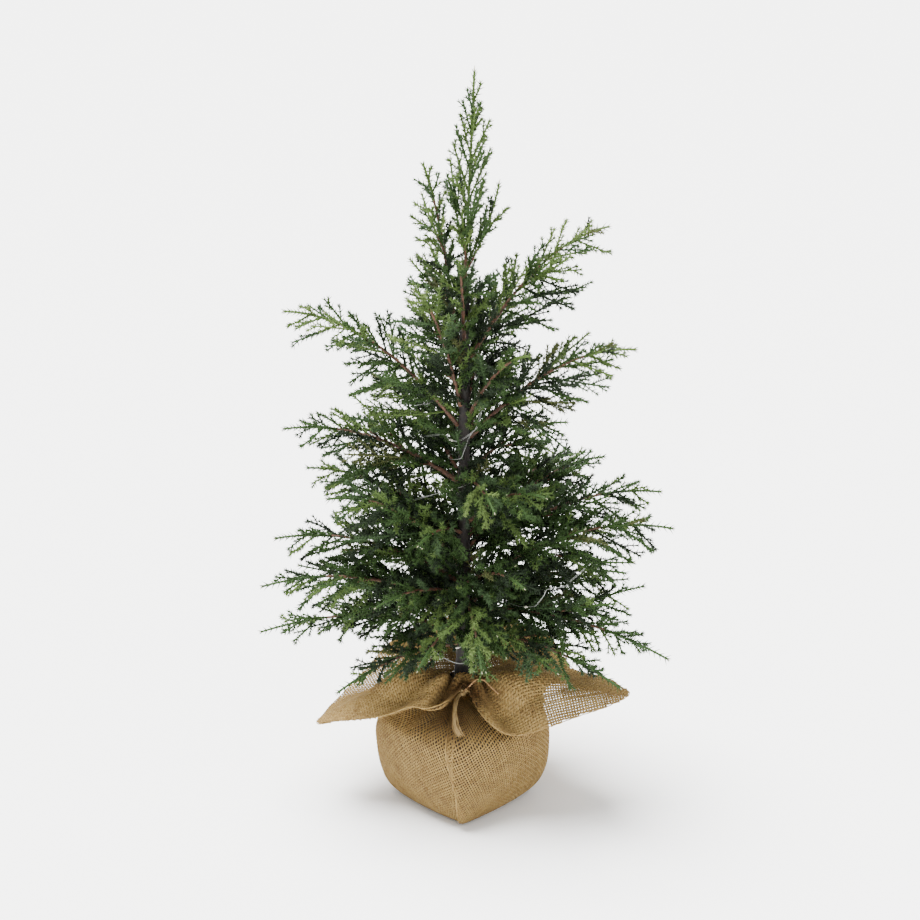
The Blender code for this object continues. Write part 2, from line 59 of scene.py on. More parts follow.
# Height, half the diagonal, and how square the section is.
BALL_SECTIONS = (
    (0.000, 0.0520, 1.18), (0.003, 0.0570, 1.18), (0.010, 0.0635, 1.22), (0.024, 0.0695, 1.28),
    (0.046, 0.0725, 1.36), (0.064, 0.0720, 1.44), (0.077, 0.0670, 1.55), (0.088, 0.0545, 1.70),
    (0.0945, 0.0340, 1.85), (0.0985, 0.0150, 2.00), (0.107, 0.0150, 2.00),
)
NECK_TOP = BALL_SECTIONS[-1][0]
NECK_RADIUS = BALL_SECTIONS[-1][1]
THROAT_RADIUS = 0.0130
THROAT_LIFT = 0.0095
# Azimuth in degrees from +X, reach and height.
FLARE_EDGE = (
    (5, 0.122, 0.099), (20, 0.101, 0.096), (38, 0.103, 0.104), (50, 0.114, 0.106),
    (65, 0.109, 0.110), (80, 0.106, 0.108), (92, 0.112, 0.110), (104, 0.105, 0.111),
    (121, 0.098, 0.108), (135, 0.093, 0.104), (150, 0.095, 0.091), (166, 0.106, 0.077),
    (180, 0.116, 0.072), (187, 0.122, 0.070), (194, 0.107, 0.0780), (202, 0.092, 0.0840),
    (210, 0.079, 0.0890), (218, 0.069, 0.095), (227, 0.062, 0.101), (238, 0.057, 0.101),
    (248, 0.052, 0.104), (256, 0.046, 0.107), (263, 0.034, 0.110), (271, 0.027, 0.113),
    (279, 0.032, 0.110), (284, 0.047, 0.100), (290, 0.060, 0.093), (297, 0.066, 0.086),
    (306, 0.070, 0.081), (315, 0.079, 0.083), (323, 0.091, 0.0890), (334, 0.106, 0.0935),
    (343, 0.128, 0.0995), (349, 0.139, 0.1030), (356, 0.130, 0.102),
)
# Azimuth, half width in degrees, rise, and lean round the trunk.
FLARE_FOLDS = (
    (15, 12, -0.003, 0.0), (55, 14, 0.005, 0.0), (90, 12, -0.004, 0.0), (125, 14, 0.005, 0.0),
    (165, 12, -0.004, 0.0), (190, 12, 0.008, 0.0), (210, 8, -0.004, 0.0), (226, 9, 0.006, 0.006),
    (243, 9, -0.009, 0.0), (259, 6, 0.003, 0.0), (287, 8, 0.004, 0.004), (307, 11, -0.0068, 0.0),
    (335, 14, 0.005, 0.0),
)
TIE_HEIGHT = 0.1028
TIE_RADIUS = NECK_RADIUS + CLEAR + 0.0013
KNOT_OUT = 0.0030
TRUNK_FOOT = NECK_TOP + CLEAR
TRUNK_TOP = 0.446
TRUNK_FOOT_RADIUS = 0.0075
TRUNK_LOW_RADIUS = 0.0058
TRUNK_SPREAD = 0.06
TRUNK_TOP_RADIUS = 0.0036
TRUNK_LEAN = 0.0015
LEADER_LEAN = 0.0085
# Name, azimuth in degrees from +X, foot's height, reach, tip's height, and whether it is a main
# bough with a bare limb.
BOUGHS = (
    ("low_left", 172, 0.150, 0.172, 0.136, True),
    ("low_front_left", 212, 0.138, 0.120, 0.122, False),
    ("low_front_right", 325, 0.148, 0.152, 0.138, True),
    ("low_right", 340, 0.168, 0.175, 0.150, True),
    ("low_front", 278, 0.186, 0.106, 0.160, False),
    ("low_front_centre", 245, 0.162, 0.086, 0.148, False),
    ("low_back_right", 62, 0.146, 0.148, 0.150, True),
    ("low_back", 96, 0.158, 0.158, 0.166, True),
    ("low_back_left", 134, 0.146, 0.152, 0.152, True),
    ("lower_left", 190, 0.172, 0.165, 0.200, True),
    ("lower_side_right", 20, 0.174, 0.148, 0.178, True),
    ("lower_front_left", 222, 0.184, 0.094, 0.196, False),
    ("lower_front_right", 300, 0.194, 0.096, 0.221, False),
    ("lower_side_left", 178, 0.194, 0.154, 0.228, True),
    ("lower_right", 352, 0.190, 0.170, 0.248, True),
    ("lower_back", 80, 0.210, 0.138, 0.232, False),
    ("lower_back_left", 118, 0.202, 0.140, 0.226, False),
    ("middle_right", 6, 0.212, 0.163, 0.264, True),
    ("middle_left", 205, 0.214, 0.118, 0.283, False),
    ("middle_back_right", 48, 0.232, 0.150, 0.264, True),
    ("middle_side_right", 26, 0.224, 0.132, 0.280, False),
    ("middle_side_left", 154, 0.230, 0.146, 0.268, True),
    ("middle_front_left", 242, 0.238, 0.076, 0.250, False),
    ("middle_front_right", 315, 0.247, 0.092, 0.289, False),
    ("middle_back", 102, 0.252, 0.132, 0.296, False),
    ("upper_left", 171, 0.280, 0.148, 0.316, True),
    ("upper_front", 286, 0.284, 0.088, 0.284, False),
    ("upper_side_right", 36, 0.288, 0.108, 0.308, False),
    ("upper_back_left", 132, 0.286, 0.118, 0.344, False),
    ("upper_back", 74, 0.304, 0.106, 0.358, False),
    ("upper_right", 355, 0.318, 0.136, 0.393, False),
    ("high_left", 185, 0.328, 0.140, 0.424, False),
    ("high_front_right", 318, 0.338, 0.070, 0.398, False),
    ("high_front_left", 236, 0.346, 0.066, 0.452, False),
    ("high_back_right", 60, 0.348, 0.084, 0.430, False),
    ("high_back", 112, 0.366, 0.074, 0.458, False),
    ("high_right", 8, 0.384, 0.115, 0.484, False),
    ("top_left", 156, 0.392, 0.034, 0.534, False),
    ("top_front", 265, 0.400, 0.036, 0.470, False),
)
ARCH_BY_REACH = 0.08
ARCH_BY_RISE = 0.12
LINE_POINTS = 9
LIMB_FOOT_RADIUS = 0.0023
LIMB_TIP_RADIUS = 0.0015
STEM_RADIUS = 0.0015

# Foliage, by the solids' rule with more and finer shoots
SHOOT_TAPER = 0.80
SHOOT_ANGLE = 38
SHOOT_LENGTH = 0.058
SHOOT_TURN = 137.5
BARE_TIP = 0.005
TRIES = ((1.0, 1.0), (0.9, 0.6), (0.7, 1.0), (0.7, 0.6), (0.5, 1.0), (0.5, 0.6), (0.35, 0.8))
LEADER_SHOOT_ANGLE = 24
LEADER_SHOOT_LENGTH = 0.060
SEED = 7

FOLIAGE_NODES = ["foliage_" + row[0] for row in BOUGHS] + ["foliage_leader"]
LIMB_NODES = ["bough_" + row[0] for row in BOUGHS if row[5]]


# ---- settings ----------------------------------------------------------------------------------
def number_setting(name, value, description, **kind):
    return FloatProperty(name=name, default=value, description=description, **kind)


def length_setting(name, value, description):
    return number_setting(name, value, description, subtype="DISTANCE", unit="LENGTH")


def colour_setting(name, value, description):
    """A colour, given as sRGB from 0 to 255 and kept as the linear colour it stands for."""
    linear = [linear_from(v) for v in value]
    return FloatVectorProperty(
        name=name, default=linear, description=description, subtype="COLOR", min=0.0, max=1.0
    )


def linear_from(value):
    share = value / 255
    return share / 12.92 if share <= 0.04045 else ((share + 0.055) / 1.055) ** 2.4


class FoliageSettings(bpy.types.PropertyGroup):
    shoot_gap: length_setting("Shoot gap", 0.0048, "Distance from one shoot to the next")
    inner_gap: length_setting("Inner shoot gap", 0.0043, "The same, for those near the trunk")
    trunk_gap: length_setting("Trunk spray gap", 0.0036, "Rise from one trunk spray to the next")
    side_gap: length_setting("Side shoot gap", 0.0056, "Distance between side shoots")
    needle_gap: length_setting("Needle gap", 0.0021, "Distance between pairs of needles")
    needle_length: length_setting("Needle length", 0.0038, "Length of a needle")
    needle_radius: length_setting("Needle radius", 0.00062, "Reach of a needle's foot")
    twig_radius: length_setting("Twig radius", 0.00086, "Radius of a green twig at its foot")
    deep: colour_setting("Deep green", (23, 36, 17), "Needles of the inner sprays")
    cedar: colour_setting("Cedar green", (43, 65, 27), "Needles of most sprays")
    cool: colour_setting("Grey green", (48, 68, 38), "Needles of the cooler sprays")
    fresh: colour_setting("Fresh green", (69, 89, 41), "Needles of the lighter sprays")
    tip: colour_setting("Tip green", (90, 109, 57), "Needles of the lightest sprays")
    olive: colour_setting("Olive green", (70, 76, 40), "Needles of the faded sprays")


class WoodSettings(bpy.types.PropertyGroup):
    trunk_tape: colour_setting("Trunk tape", (29, 20, 14), "The tape wound on the trunk")
    trunk_dark: colour_setting("Trunk shade", (11, 9, 7), "The tape's darker turns")
    wire_tape: colour_setting("Bough tape", (94, 62, 42), "The tape wound on the boughs")
    wire_dark: colour_setting("Bough shade", (54, 38, 28), "The darker part of that tape")
    wire_end: colour_setting("Wire end", (176, 172, 140), "The bare wire at a bough's tip")
    tape_pitch: length_setting("Tape pitch", 0.0085, "Rise of one turn of the trunk's tape")
    tape_step: length_setting("Tape step", 0.00035, "How far a turn's edge stands out")


class BurlapSettings(bpy.types.PropertyGroup):
    pitch: length_setting("Thread pitch", 0.00235, "Distance from thread to thread")
    cover: number_setting("Ball cover", 0.35, "Thread width over its pitch")
    flare_cover: number_setting("Flare cover", 0.62, "The same in the flare")
    depth: length_setting("Thread depth", 0.00040, "Thickness of a thread")
    crossing: length_setting("Crossing", 0.0007, "How far apart threads lie where they cross")
    straw: colour_setting("Straw", (147, 120, 68), "The cloth's main colour")
    pale: colour_setting("Pale straw", (182, 156, 106), "Its palest fibres")
    brown: colour_setting("Brown straw", (92, 66, 32), "Its darkest fibres")
    # Near black, so that the base under the threads stands for the shade between them: painted
    # shade.
    inside: colour_setting("Inside", (26, 18, 9), "What shows dark between the threads")
    twine: colour_setting("Twine", (176, 150, 104), "The jute twine")
    pink_twine: colour_setting("Thin twine", (170, 126, 92), "The thin twisted end")


class LightWireSettings(bpy.types.PropertyGroup):
    wire: length_setting("Wire radius", 0.00015, "Radius of one strand of the light wire")
    metal: colour_setting("Wire metal", (160, 162, 158), "The silvery wire")
    lens: colour_setting("Lens", (236, 232, 214), "The clear drop over each light")


class StageSettings(bpy.types.PropertyGroup):
    floor: colour_setting("Floor", (252, 252, 251), "The plain floor")
    key: number_setting("Key light", 15.0, "Watts a square metre, from above")
    fill: number_setting("Fill light", 17.0, "Strength in watts", unit="POWER")
    sky: number_setting("Sky", 1.25, "Strength of the even light all round")
    backdrop: number_setting("Backdrop", 5.8, "How pale it looks behind the floor")
    distance: length_setting("Camera distance", 1.5, "How far in front of the trunk it stands")
    height: length_setting("Camera height", 0.834, "How high the camera stands")
    pitch: number_setting(
        "Camera pitch",
        math.radians(19.67),
        "How far the camera looks down",
        subtype="ANGLE",
        unit="ROTATION",
    )


# ---- working by hand ---------------------------------------------------------------------------
def deselect_all():
    if bpy.context.mode != "OBJECT":
        bpy.ops.object.mode_set(mode="OBJECT")
    bpy.ops.object.select_all(action="DESELECT")


def turned_form(name, sides, cuts, place):
    """A cylinder with its wall cut into rows, each vertex put where its turn and height say."""
    deselect_all()
    bpy.ops.mesh.primitive_cylinder_add(vertices=sides, radius=1, depth=1, location=(0, 0, 0.5))
    obj = bpy.context.object
    obj.name = obj.data.name = name
    bpy.ops.object.transform_apply(location=True, rotation=True, scale=True)
    bpy.ops.object.mode_set(mode="EDIT")
    bpy.ops.mesh.select_mode(type="EDGE")
    bpy.ops.mesh.select_all(action="DESELECT")
    shape = bmesh.from_edit_mesh(obj.data)
    for edge in shape.edges:
        low, high = sorted(vert.co.z for vert in edge.verts)
        edge.select_set(low < 0.01 and high > 0.99)
    bmesh.update_edit_mesh(obj.data)
    bpy.ops.mesh.subdivide(number_cuts=cuts)
    bpy.ops.object.mode_set(mode="OBJECT")
    for vert in obj.data.vertices:
        vert.co = place(math.atan2(vert.co.y, vert.co.x), vert.co.z)
    bpy.ops.object.select_all(action="DESELECT")
    obj.select_set(True)
    bpy.ops.object.shade_smooth()
    return obj


def finished(obj, material, slot, *nodes):
    """Gives a piece its material and hands it to the frame."""
    obj.data.materials.clear()
    obj.data.materials.append(material)
    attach(obj, BODY)
    if nodes:
        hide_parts(*nodes)
    return obj


# ---- many small shapes as one mesh -------------------------------------------------------------
def unit(vectors):
    return vectors / np.maximum(np.linalg.norm(vectors, axis=-1, keepdims=True), 1e-12)


def side_of(along):
    """A vector square to each direction."""
    guide = np.where(np.abs(along[..., 2:]) < 0.9, UPRIGHT, (1.0, 0.0, 0.0))
    return unit(np.cross(along, guide))


def sides_along(along):
    """A vector square to each direction of one line, turning as little as the line does."""
    side = side_of(along.mean(axis=0)[None])
    return unit(side - (side * along).sum(-1, keepdims=True) * along)


def outward_at(turn):
    """The level direction at a turn from +X."""
    return np.array((math.cos(turn), math.sin(turn), 0.0))


def leaning(first, second, angle):
    """The direction at an angle from the first towards the second."""
    return math.cos(angle) * first + math.sin(angle) * second


def each_leaning(first, second, angles):
    """The same for many directions, each at its own angle."""
    return np.cos(angles)[:, None] * first + np.sin(angles)[:, None] * second


def run_along(points):
    """Distance along a line from its first point to each."""
    return np.concatenate([[0], np.cumsum(np.linalg.norm(np.diff(points, axis=0), axis=1))])


def read_at(at, run, values):
    """Places or directions at distances along a line."""
    return np.stack([np.interp(at, run, values[:, k]) for k in range(3)], axis=1)


def curve_through(p0, p1, p2, p3, share):
    """The smooth curve through four values, between the middle two."""
    cubic = -p0 + 3 * p1 - 3 * p2 + p3
    square = 2 * p0 - 5 * p1 + 4 * p2 - p3
    return 0.5 * (2 * p1 + (p2 - p0) * share + square * share**2 + cubic * share**3)


class Bundle:
    """Small closed tubes and spikes on their way to one mesh."""

    def __init__(self):
        self.verts, self.count = [], 0
        self.quads, self.quad_uvs = [], []
        self.tris, self.tri_uvs = [], []

    def triangles(self):
        return 2 * sum(map(len, self.quads)) + sum(map(len, self.tris))

    def tube(self, points, wide, deep=None, over=None, sides=4, ident=0.0):
        """A tube of half widths and half depths, the depths along over, closed at both ends."""
        points = np.asarray(points, dtype=float)
        along = unit(np.gradient(points, axis=0))
        across = sides_along(along) if over is None else unit(np.cross(along, over))
        over = np.cross(across, along)
        wide = np.broadcast_to(wide, len(points))[:, None, None]
        deep = wide if deep is None else np.broadcast_to(deep, len(points))[:, None, None]
        angles = TAU * (np.arange(sides) + 0.5) / sides
        rings = points[:, None] + wide * np.cos(angles)[:, None] * across[:, None]
        rings = rings + deep * np.sin(angles)[:, None] * over[:, None]
        run = run_along(points)
        rows, cols = np.meshgrid(np.arange(len(points) - 1), np.arange(sides), indexing="ij")
        rows, cols = rows.ravel(), cols.ravel()
        following = (cols + 1) % sides
        corners = ((rows, cols), (rows, following), (rows + 1, following), (rows + 1, cols))
        quads = np.stack([r * sides + c for r, c in corners], axis=1)[:, ::-1]
        round_share = [cols, cols + 1, cols + 1, cols]
        uvs = [(run[r], ident + k / sides) for (r, c), k in zip(corners, round_share)]
        uvs = np.stack([np.stack(pair, axis=1) for pair in uvs], axis=1)[:, ::-1]
        self.quads.append(quads + self.count)
        self.quad_uvs.append(uvs)
        last = (len(points) - 1) * sides
        if sides == 4:
            ends = np.array([[0, 1, 2, 3], [last + 3, last + 2, last + 1, last]])
            self.quads.append(ends + self.count)
            self.quad_uvs.append(np.tile(((0.0, ident),), (2, 4, 1)))
        else:
            fans = [(0, k, k + 1) for k in range(1, sides - 1)]
            fans += [(last, last + k + 1, last + k) for k in range(1, sides - 1)]
            self.tris.append(np.array(fans) + self.count)
            self.tri_uvs.append(np.tile(((0.0, ident),), (len(fans), 3, 1)))
        self.verts.append(rings.reshape(-1, 3))
        self.count += rings.shape[0] * sides

    def spikes(self, roots, along, lengths, radius):
        """Needles: closed spikes on three-sided feet."""
        side = side_of(along)
        over = np.cross(along, side)
        feet = [roots + radius * leaning(side, over, TAU * k / 3) for k in range(3)]
        tips = roots + lengths[:, None] * along
        self.verts.append(np.stack([*feet, tips], axis=1).reshape(-1, 3))
        first = self.count + 4 * np.arange(len(roots))[:, None]
        for pattern in ((0, 2, 1), (0, 1, 3), (1, 2, 3), (2, 0, 3)):
            self.tris.append(first + np.array(pattern))
            self.tri_uvs.append(np.zeros((len(roots), 3, 2)))
        self.count += 4 * len(roots)

    def shell(self, top, bottom):
        """A thin sheet: a lattice of places above, one below, and its four edges closed."""
        rows, columns = top.shape[:2]
        grid = self.count + np.arange(rows * columns).reshape(rows, columns)
        corners = (grid[:-1, :-1], grid[:-1, 1:], grid[1:, 1:], grid[1:, :-1])
        upper = np.stack(corners, axis=-1).reshape(-1, 4)
        rim = np.concatenate([grid[0, :-1], grid[:-1, -1], grid[-1, :0:-1], grid[:0:-1, 0]])
        ahead = np.roll(rim, -1)
        below = rows * columns
        edges = np.stack([ahead, rim, rim + below, ahead + below], axis=1)
        for quads in (upper, upper[:, ::-1] + below, edges):
            self.quads.append(quads)
            self.quad_uvs.append(np.zeros((len(quads), 4, 2)))
        self.verts += [top.reshape(-1, 3), bottom.reshape(-1, 3)]
        self.count += 2 * below

    def mesh(self, name, smooth=True):
        mesh = bpy.data.meshes.new(name)
        verts = np.concatenate(self.verts).astype(np.float32)
        mesh.vertices.add(len(verts))
        mesh.vertices.foreach_set("co", verts.ravel())
        loops, starts, uvs, at = [], [], [], 0
        kinds = ((self.quads, self.quad_uvs, 4), (self.tris, self.tri_uvs, 3))
        for faces, coords, corners in kinds:
            if faces:
                joined = np.concatenate(faces)
                loops.append(joined.ravel())
                starts.append(at + corners * np.arange(len(joined)))
                uvs.append(np.concatenate(coords).reshape(-1, 2))
                at += joined.size
        loops = np.concatenate(loops).astype(np.int32)
        mesh.loops.add(len(loops))
        mesh.loops.foreach_set("vertex_index", loops)
        starts = np.concatenate(starts).astype(np.int32)
        mesh.polygons.add(len(starts))
        mesh.polygons.foreach_set("loop_start", starts)
        layer = mesh.uv_layers.new(name="thread")
        layer.data.foreach_set("uv", np.concatenate(uvs).astype(np.float32).ravel())
        mesh.update(calc_edges=True)
        if smooth:
            mesh.shade_smooth()
        obj = bpy.data.objects.new(name, mesh)
        bpy.context.scene.collection.objects.link(obj)
        return obj


# ---- materials ---------------------------------------------------------------------------------
COLOUR, NUMBER, VECTOR = "NodeSocketColor", "NodeSocketFloat", "NodeSocketVector"
SHADER = "Principled BSDF"
BUMP_STRENGTH = 0.6


def group_with(name, inputs, outputs):
    """A new shader node group, its named sockets made, with its input and output nodes."""
    tree = bpy.data.node_groups.new(name, "ShaderNodeTree")
    for label, kind, value in inputs:
        socket = tree.interface.new_socket(name=label, in_out="INPUT", socket_type=kind)
        if value is not None:
            socket.default_value = value
    for label, kind in outputs:
        tree.interface.new_socket(name=label, in_out="OUTPUT", socket_type=kind)
    return tree, tree.nodes.new("NodeGroupInput"), tree.nodes.new("NodeGroupOutput")


def node_in(tree, kind, links, **constants):
    """A new shader node, some of its sockets linked and others set."""
    node = tree.nodes.new("ShaderNode" + kind)
    for label, source in links.items():
        tree.links.new(source, node.inputs[label])
    for label, value in constants.items():
        node.inputs[label.replace("_", " ")].default_value = value
    return node


def shared_in(tree, name, links, **constants):
    """A shared group placed in a material."""
    makers = {"Jute fibre": fibre_group, "Mottle": mottle_group, "Painted shade": painted_shade_group}
    node = tree.nodes.new("ShaderNodeGroup")
    node.node_tree = bpy.data.node_groups.get(name) or makers[name]()
    for label, source in links.items():
        tree.links.new(source, node.inputs[label])
    for label, value in constants.items():
        node.inputs[label].default_value = value
    return node


def spread_in(tree, value, low, high):
    """A value stretched so that low becomes 0 and high becomes 1."""
    node = node_in(tree, "MapRange", {"Value": value}, From_Min=low, From_Max=high)
    return node.outputs["Result"]


def mixed_in(tree, factor, first, second):
    node = tree.nodes.new("ShaderNodeMix")
    node.data_type = "RGBA"
    for label, source in (("Factor", factor), ("A", first), ("B", second)):
        tree.links.new(source, node.inputs[label])
    return node.outputs["Result"]


def fibre_group():
    """Jute fibre along a thread: u is its run in metres, and v is 1 more on each next thread."""
    tree, start, end = group_with(
        "Jute fibre",
        (
            ("Thread", VECTOR, None),
            ("Straw", COLOUR, (0.5, 0.4, 0.2, 1)),
            ("Pale", COLOUR, (0.7, 0.6, 0.4, 1)),
            ("Brown", COLOUR, (0.3, 0.2, 0.1, 1)),
        ),
        (("Colour", COLOUR), ("Height", NUMBER)),
    )
    noises = []
    for stretch, detail, roughness in (((45, 0.37, 1), 2.0, 0.55), ((260, 9.0, 1), 3.0, 0.7)):
        place = node_in(tree, "Mapping", {"Vector": start.outputs["Thread"]}, Scale=stretch)
        links = {"Vector": place.outputs["Vector"]}
        noise = node_in(tree, "TexNoise", links, Scale=1.0, Detail=detail, Roughness=roughness)
        noises.append(noise.outputs["Fac"])
    slubs, hairs = noises
    straw, pale, brown = (start.outputs[label] for label in ("Straw", "Pale", "Brown"))
    tone = mixed_in(tree, spread_in(tree, slubs, 0.35, 0.72), straw, brown)
    tone = mixed_in(tree, spread_in(tree, hairs, 0.42, 0.78), tone, pale)
    tree.links.new(tone, end.inputs["Colour"])
    tree.links.new(hairs, end.inputs["Height"])
    return tree


def mottle_group():
    """Two colours mottled over a surface, with a height to match."""
    tree, start, end = group_with(
        "Mottle",
        (
            ("Place", VECTOR, None),
            ("First", COLOUR, (0.5, 0.5, 0.5, 1)),
            ("Second", COLOUR, (0.2, 0.2, 0.2, 1)),
            ("Scale", NUMBER, 200.0),
        ),
        (("Colour", COLOUR), ("Height", NUMBER)),
    )
    links = {"Vector": start.outputs["Place"], "Scale": start.outputs["Scale"]}
    noise = node_in(tree, "TexNoise", links, Detail=4.0, Roughness=0.6).outputs["Fac"]
    share = spread_in(tree, noise, 0.38, 0.66)
    tone = mixed_in(tree, share, start.outputs["First"], start.outputs["Second"])
    tree.links.new(tone, end.inputs["Colour"])
    tree.links.new(noise, end.inputs["Height"])
    return tree


def painted_shade_group():
    """Painted shade: the cloth's colour darkened towards a middle where shade falls. Place is 0
    amid the shaded part and 1 at its edge.
    """
    tree, start, end = group_with(
        "Painted shade",
        (
            ("Place", VECTOR, None),
            ("Colour", COLOUR, (0.5, 0.4, 0.2, 1)),
            ("Shade", COLOUR, (0.1, 0.05, 0.02, 1)),
        ),
        (("Colour", COLOUR),),
    )
    away = node_in(tree, "VectorMath", {0: start.outputs["Place"]})
    away.operation = "LENGTH"
    shade_share = spread_in(tree, away.outputs["Value"], 1.0, 0.3)
    tone = mixed_in(tree, shade_share, start.outputs["Colour"], start.outputs["Shade"])
    tree.links.new(tone, end.inputs["Colour"])
    return tree


def plain_material(name, colour, roughness, **constants):
    material = bpy.data.materials.new(name)
    material.use_nodes = True
    shader = material.node_tree.nodes[SHADER]
    shader.inputs["Base Color"].default_value = (*colour, 1)
    shader.inputs["Roughness"].default_value = roughness
    for label, value in constants.items():
        shader.inputs[label.replace("_", " ")].default_value = value
    return material


def patterned_material(name, group, source, colours, roughness, bump, scale=None, **constants):
    """A material whose colour and bump come from a shared group, fed by a texture coordinate."""
    first = next(iter(colours.values()))
    material = plain_material(name, first, roughness, **constants)
    tree = material.node_tree
    values = {label: (*colour, 1) for label, colour in colours.items()}
    if scale:
        values["Scale"] = scale
    place = node_in(tree, "TexCoord", {})
    pattern = shared_in(tree, group, {0: place.outputs[source]}, **values)
    height = {"Height": pattern.outputs["Height"]}
    relief = node_in(tree, "Bump", height, Strength=BUMP_STRENGTH, Distance=bump)
    inputs = tree.nodes[SHADER].inputs
    tree.links.new(pattern.outputs["Colour"], inputs["Base Color"])
    tree.links.new(relief.outputs["Normal"], inputs["Normal"])
    return material


def mottled_material(name, colours, roughness, bump, scale):
    return patterned_material(name, "Mottle", "Object", colours, roughness, bump, scale)


def darker(colour, share):
    return [share * part for part in colour]


PAINTED_SHADE_DEPTH = 0.60  # the painted shade's darkest colour over the brown straw's
# Painted shade on the ball under the ruffles and on the flare round the tie: the middle and the
# reach of each.
BALL_PAINTED_SHADE = ((-0.014, -0.052, 0.098), (0.054, 0.045, 0.031))
FLARE_PAINTED_SHADE = ((0.003, -0.030, 0.107), (0.036, 0.030, 0.023))


def jute_material(name, straw, pale, brown, gather=None):
    """Jute thread; gather holds the middle and the reach of a part of the cloth near the tie that
    is darkened with painted shade.
    """
    colours = {"Straw": straw, "Pale": pale, "Brown": brown}
    bump, gloss = 0.0002, 0.2
    material = patterned_material(
        name, "Jute fibre", "UV", colours, 0.92, bump, Specular_IOR_Level=gloss
    )
    if gather:
        middle, reach = map(Vector, gather)
        tree = material.node_tree
        base = tree.nodes[SHADER].inputs["Base Color"]
        place = node_in(tree, "TexCoord", {})
        centred = node_in(
            tree,
            "Mapping",
            {"Vector": place.outputs["Object"]},
            Scale=[1 / part for part in reach],
            Location=[-at / part for at, part in zip(middle, reach)],
        )
        links = {"Place": centred.outputs["Vector"], "Colour": base.links[0].from_socket}
        # The painted shade's colour, mixed in towards the middle.
        dark = (*darker(brown, PAINTED_SHADE_DEPTH), 1)
        shade = shared_in(tree, "Painted shade", links, Shade=dark)
        tree.links.new(shade.outputs["Colour"], base)
    return material


# ---- the ball ----------------------------------------------------------------------------------
class BallProfile:
    """The ball's upright section, followed by its run from the foot's edge to the neck's top."""

    def __init__(self):
        self.rows = np.array(BALL_SECTIONS)
        steps = np.hypot(np.diff(self.rows[:, 0]), np.diff(self.rows[:, 1]))
        self.runs = np.concatenate([[0], np.cumsum(steps)])
        self.slopes = np.gradient(self.rows, self.runs, axis=0)

    def at(self, run):
        """Height, half diagonal and roundness at each run, on a curve through the sections."""
        i = np.clip(np.searchsorted(self.runs, run, side="right") - 1, 0, len(self.runs) - 2)
        span = self.runs[i + 1] - self.runs[i]
        t = ((run - self.runs[i]) / span)[..., None]
        span = span[..., None]
        low, high = self.rows[i], self.rows[i + 1]
        held = low * (1 + 2 * t) * (1 - t) ** 2 + high * t * t * (3 - 2 * t)
        eased = span * t * (1 - t) * ((1 - t) * self.slopes[i] - t * self.slopes[i + 1])
        row = held + eased
        return row[..., 0], row[..., 1], row[..., 2]


PROFILE = BallProfile()
# Where the cloth's right-hand edge laps over the left one: height, and azimuth in degrees.
SEAM = ((0.000, 266.7), (0.035, 264.8), (0.066, 258.9), (0.090, 254.6), (0.107, 251.0))
SEAM_LIFT = 0.0034
SEAM_RISE = 0.008  # radians over which the lap stands up
SEAM_FADE = 0.26  # radians over which it lies down again
# Heights at which the gathers and the hollow under the flare start, and over which they run.
GATHER_FROM, GATHER_OVER = 0.078, 0.018
HOLLOW_FROM, HOLLOW_OVER = 0.074, 0.0245
PLEATS = 13
GATHER_PLEAT, HOLLOW_PLEAT = 0.0011, 0.0024
GATHER_DROP, HOLLOW_DROP = 0.0006, 0.0092
SLACK, SLACK_FROM = 0.0004, 0.02


def seam_turn(height):
    rows = np.array(SEAM)
    return np.radians(np.interp(height, rows[:, 0], rows[:, 1]))


def ball_places(turn, run, inset):
    """Places on the cloth of the ball, a little inside the plain form, with its lap and pleats."""
    height, half_diagonal, roundness = PROFILE.at(run)
    c, s = np.abs(np.cos(turn)), np.abs(np.sin(turn))
    reach = half_diagonal / (c**roundness + s**roundness) ** (1 / roundness)
    reach = reach - inset
    past = (turn - seam_turn(height)) % TAU
    reach += SEAM_LIFT * np.exp(-past / SEAM_FADE) * np.clip(past / SEAM_RISE, 0, 1)
    gather = np.clip((height - GATHER_FROM) / GATHER_OVER, 0, 1)
    gather = gather * gather * (3 - 2 * gather)
    pleat = np.cos(PLEATS * turn + 1.3 * np.sin(3 * turn))
    hollow = np.sin(math.pi * np.clip((height - HOLLOW_FROM) / HOLLOW_OVER, 0, 1))
    folds = (GATHER_PLEAT * gather + HOLLOW_PLEAT * hollow) * pleat
    reach += folds - GATHER_DROP * gather - HOLLOW_DROP * hollow
    slack = np.sin(3 * turn + 1.1) * np.sin(62 * height + 0.4)
    slack = slack + 0.6 * np.sin(7 * turn + 60 * height)
    reach += SLACK * slack * np.clip(height / SLACK_FROM, 0, 1)
    return np.stack([reach * np.cos(turn), reach * np.sin(turn), height], axis=-1)


def normals_of(places):
    """Unit normals of a lattice of places, its rows first."""
    return unit(np.cross(np.gradient(places, axis=1), np.gradient(places, axis=0)))


def upward_normals(places):
    up = normals_of(places)
    return np.where(up[..., 2:] < 0, -up, up)


def lattice_of(extent, pitch, stray, chance):
    """Where threads cross on a square of cloth laid flat, each thread a little out of true."""
    count = math.ceil(extent / pitch)
    steps = pitch * np.arange(-count, count)
    first, second = np.meshgrid(steps, steps, indexing="ij")
    first = first + stray * chance.normal(size=len(steps))[:, None]
    second = second + stray * chance.normal(size=len(steps))[None]
    return first, second


HALF = math.sqrt(0.5)  # a four-sided thread's half width, to its corners
THREAD_SPREAD = (0.88, 1.12)  # thickness of single threads over the common one
LOOSE_END = (0.1, 0.4)  # how far a cut thread runs on, over the gap between threads


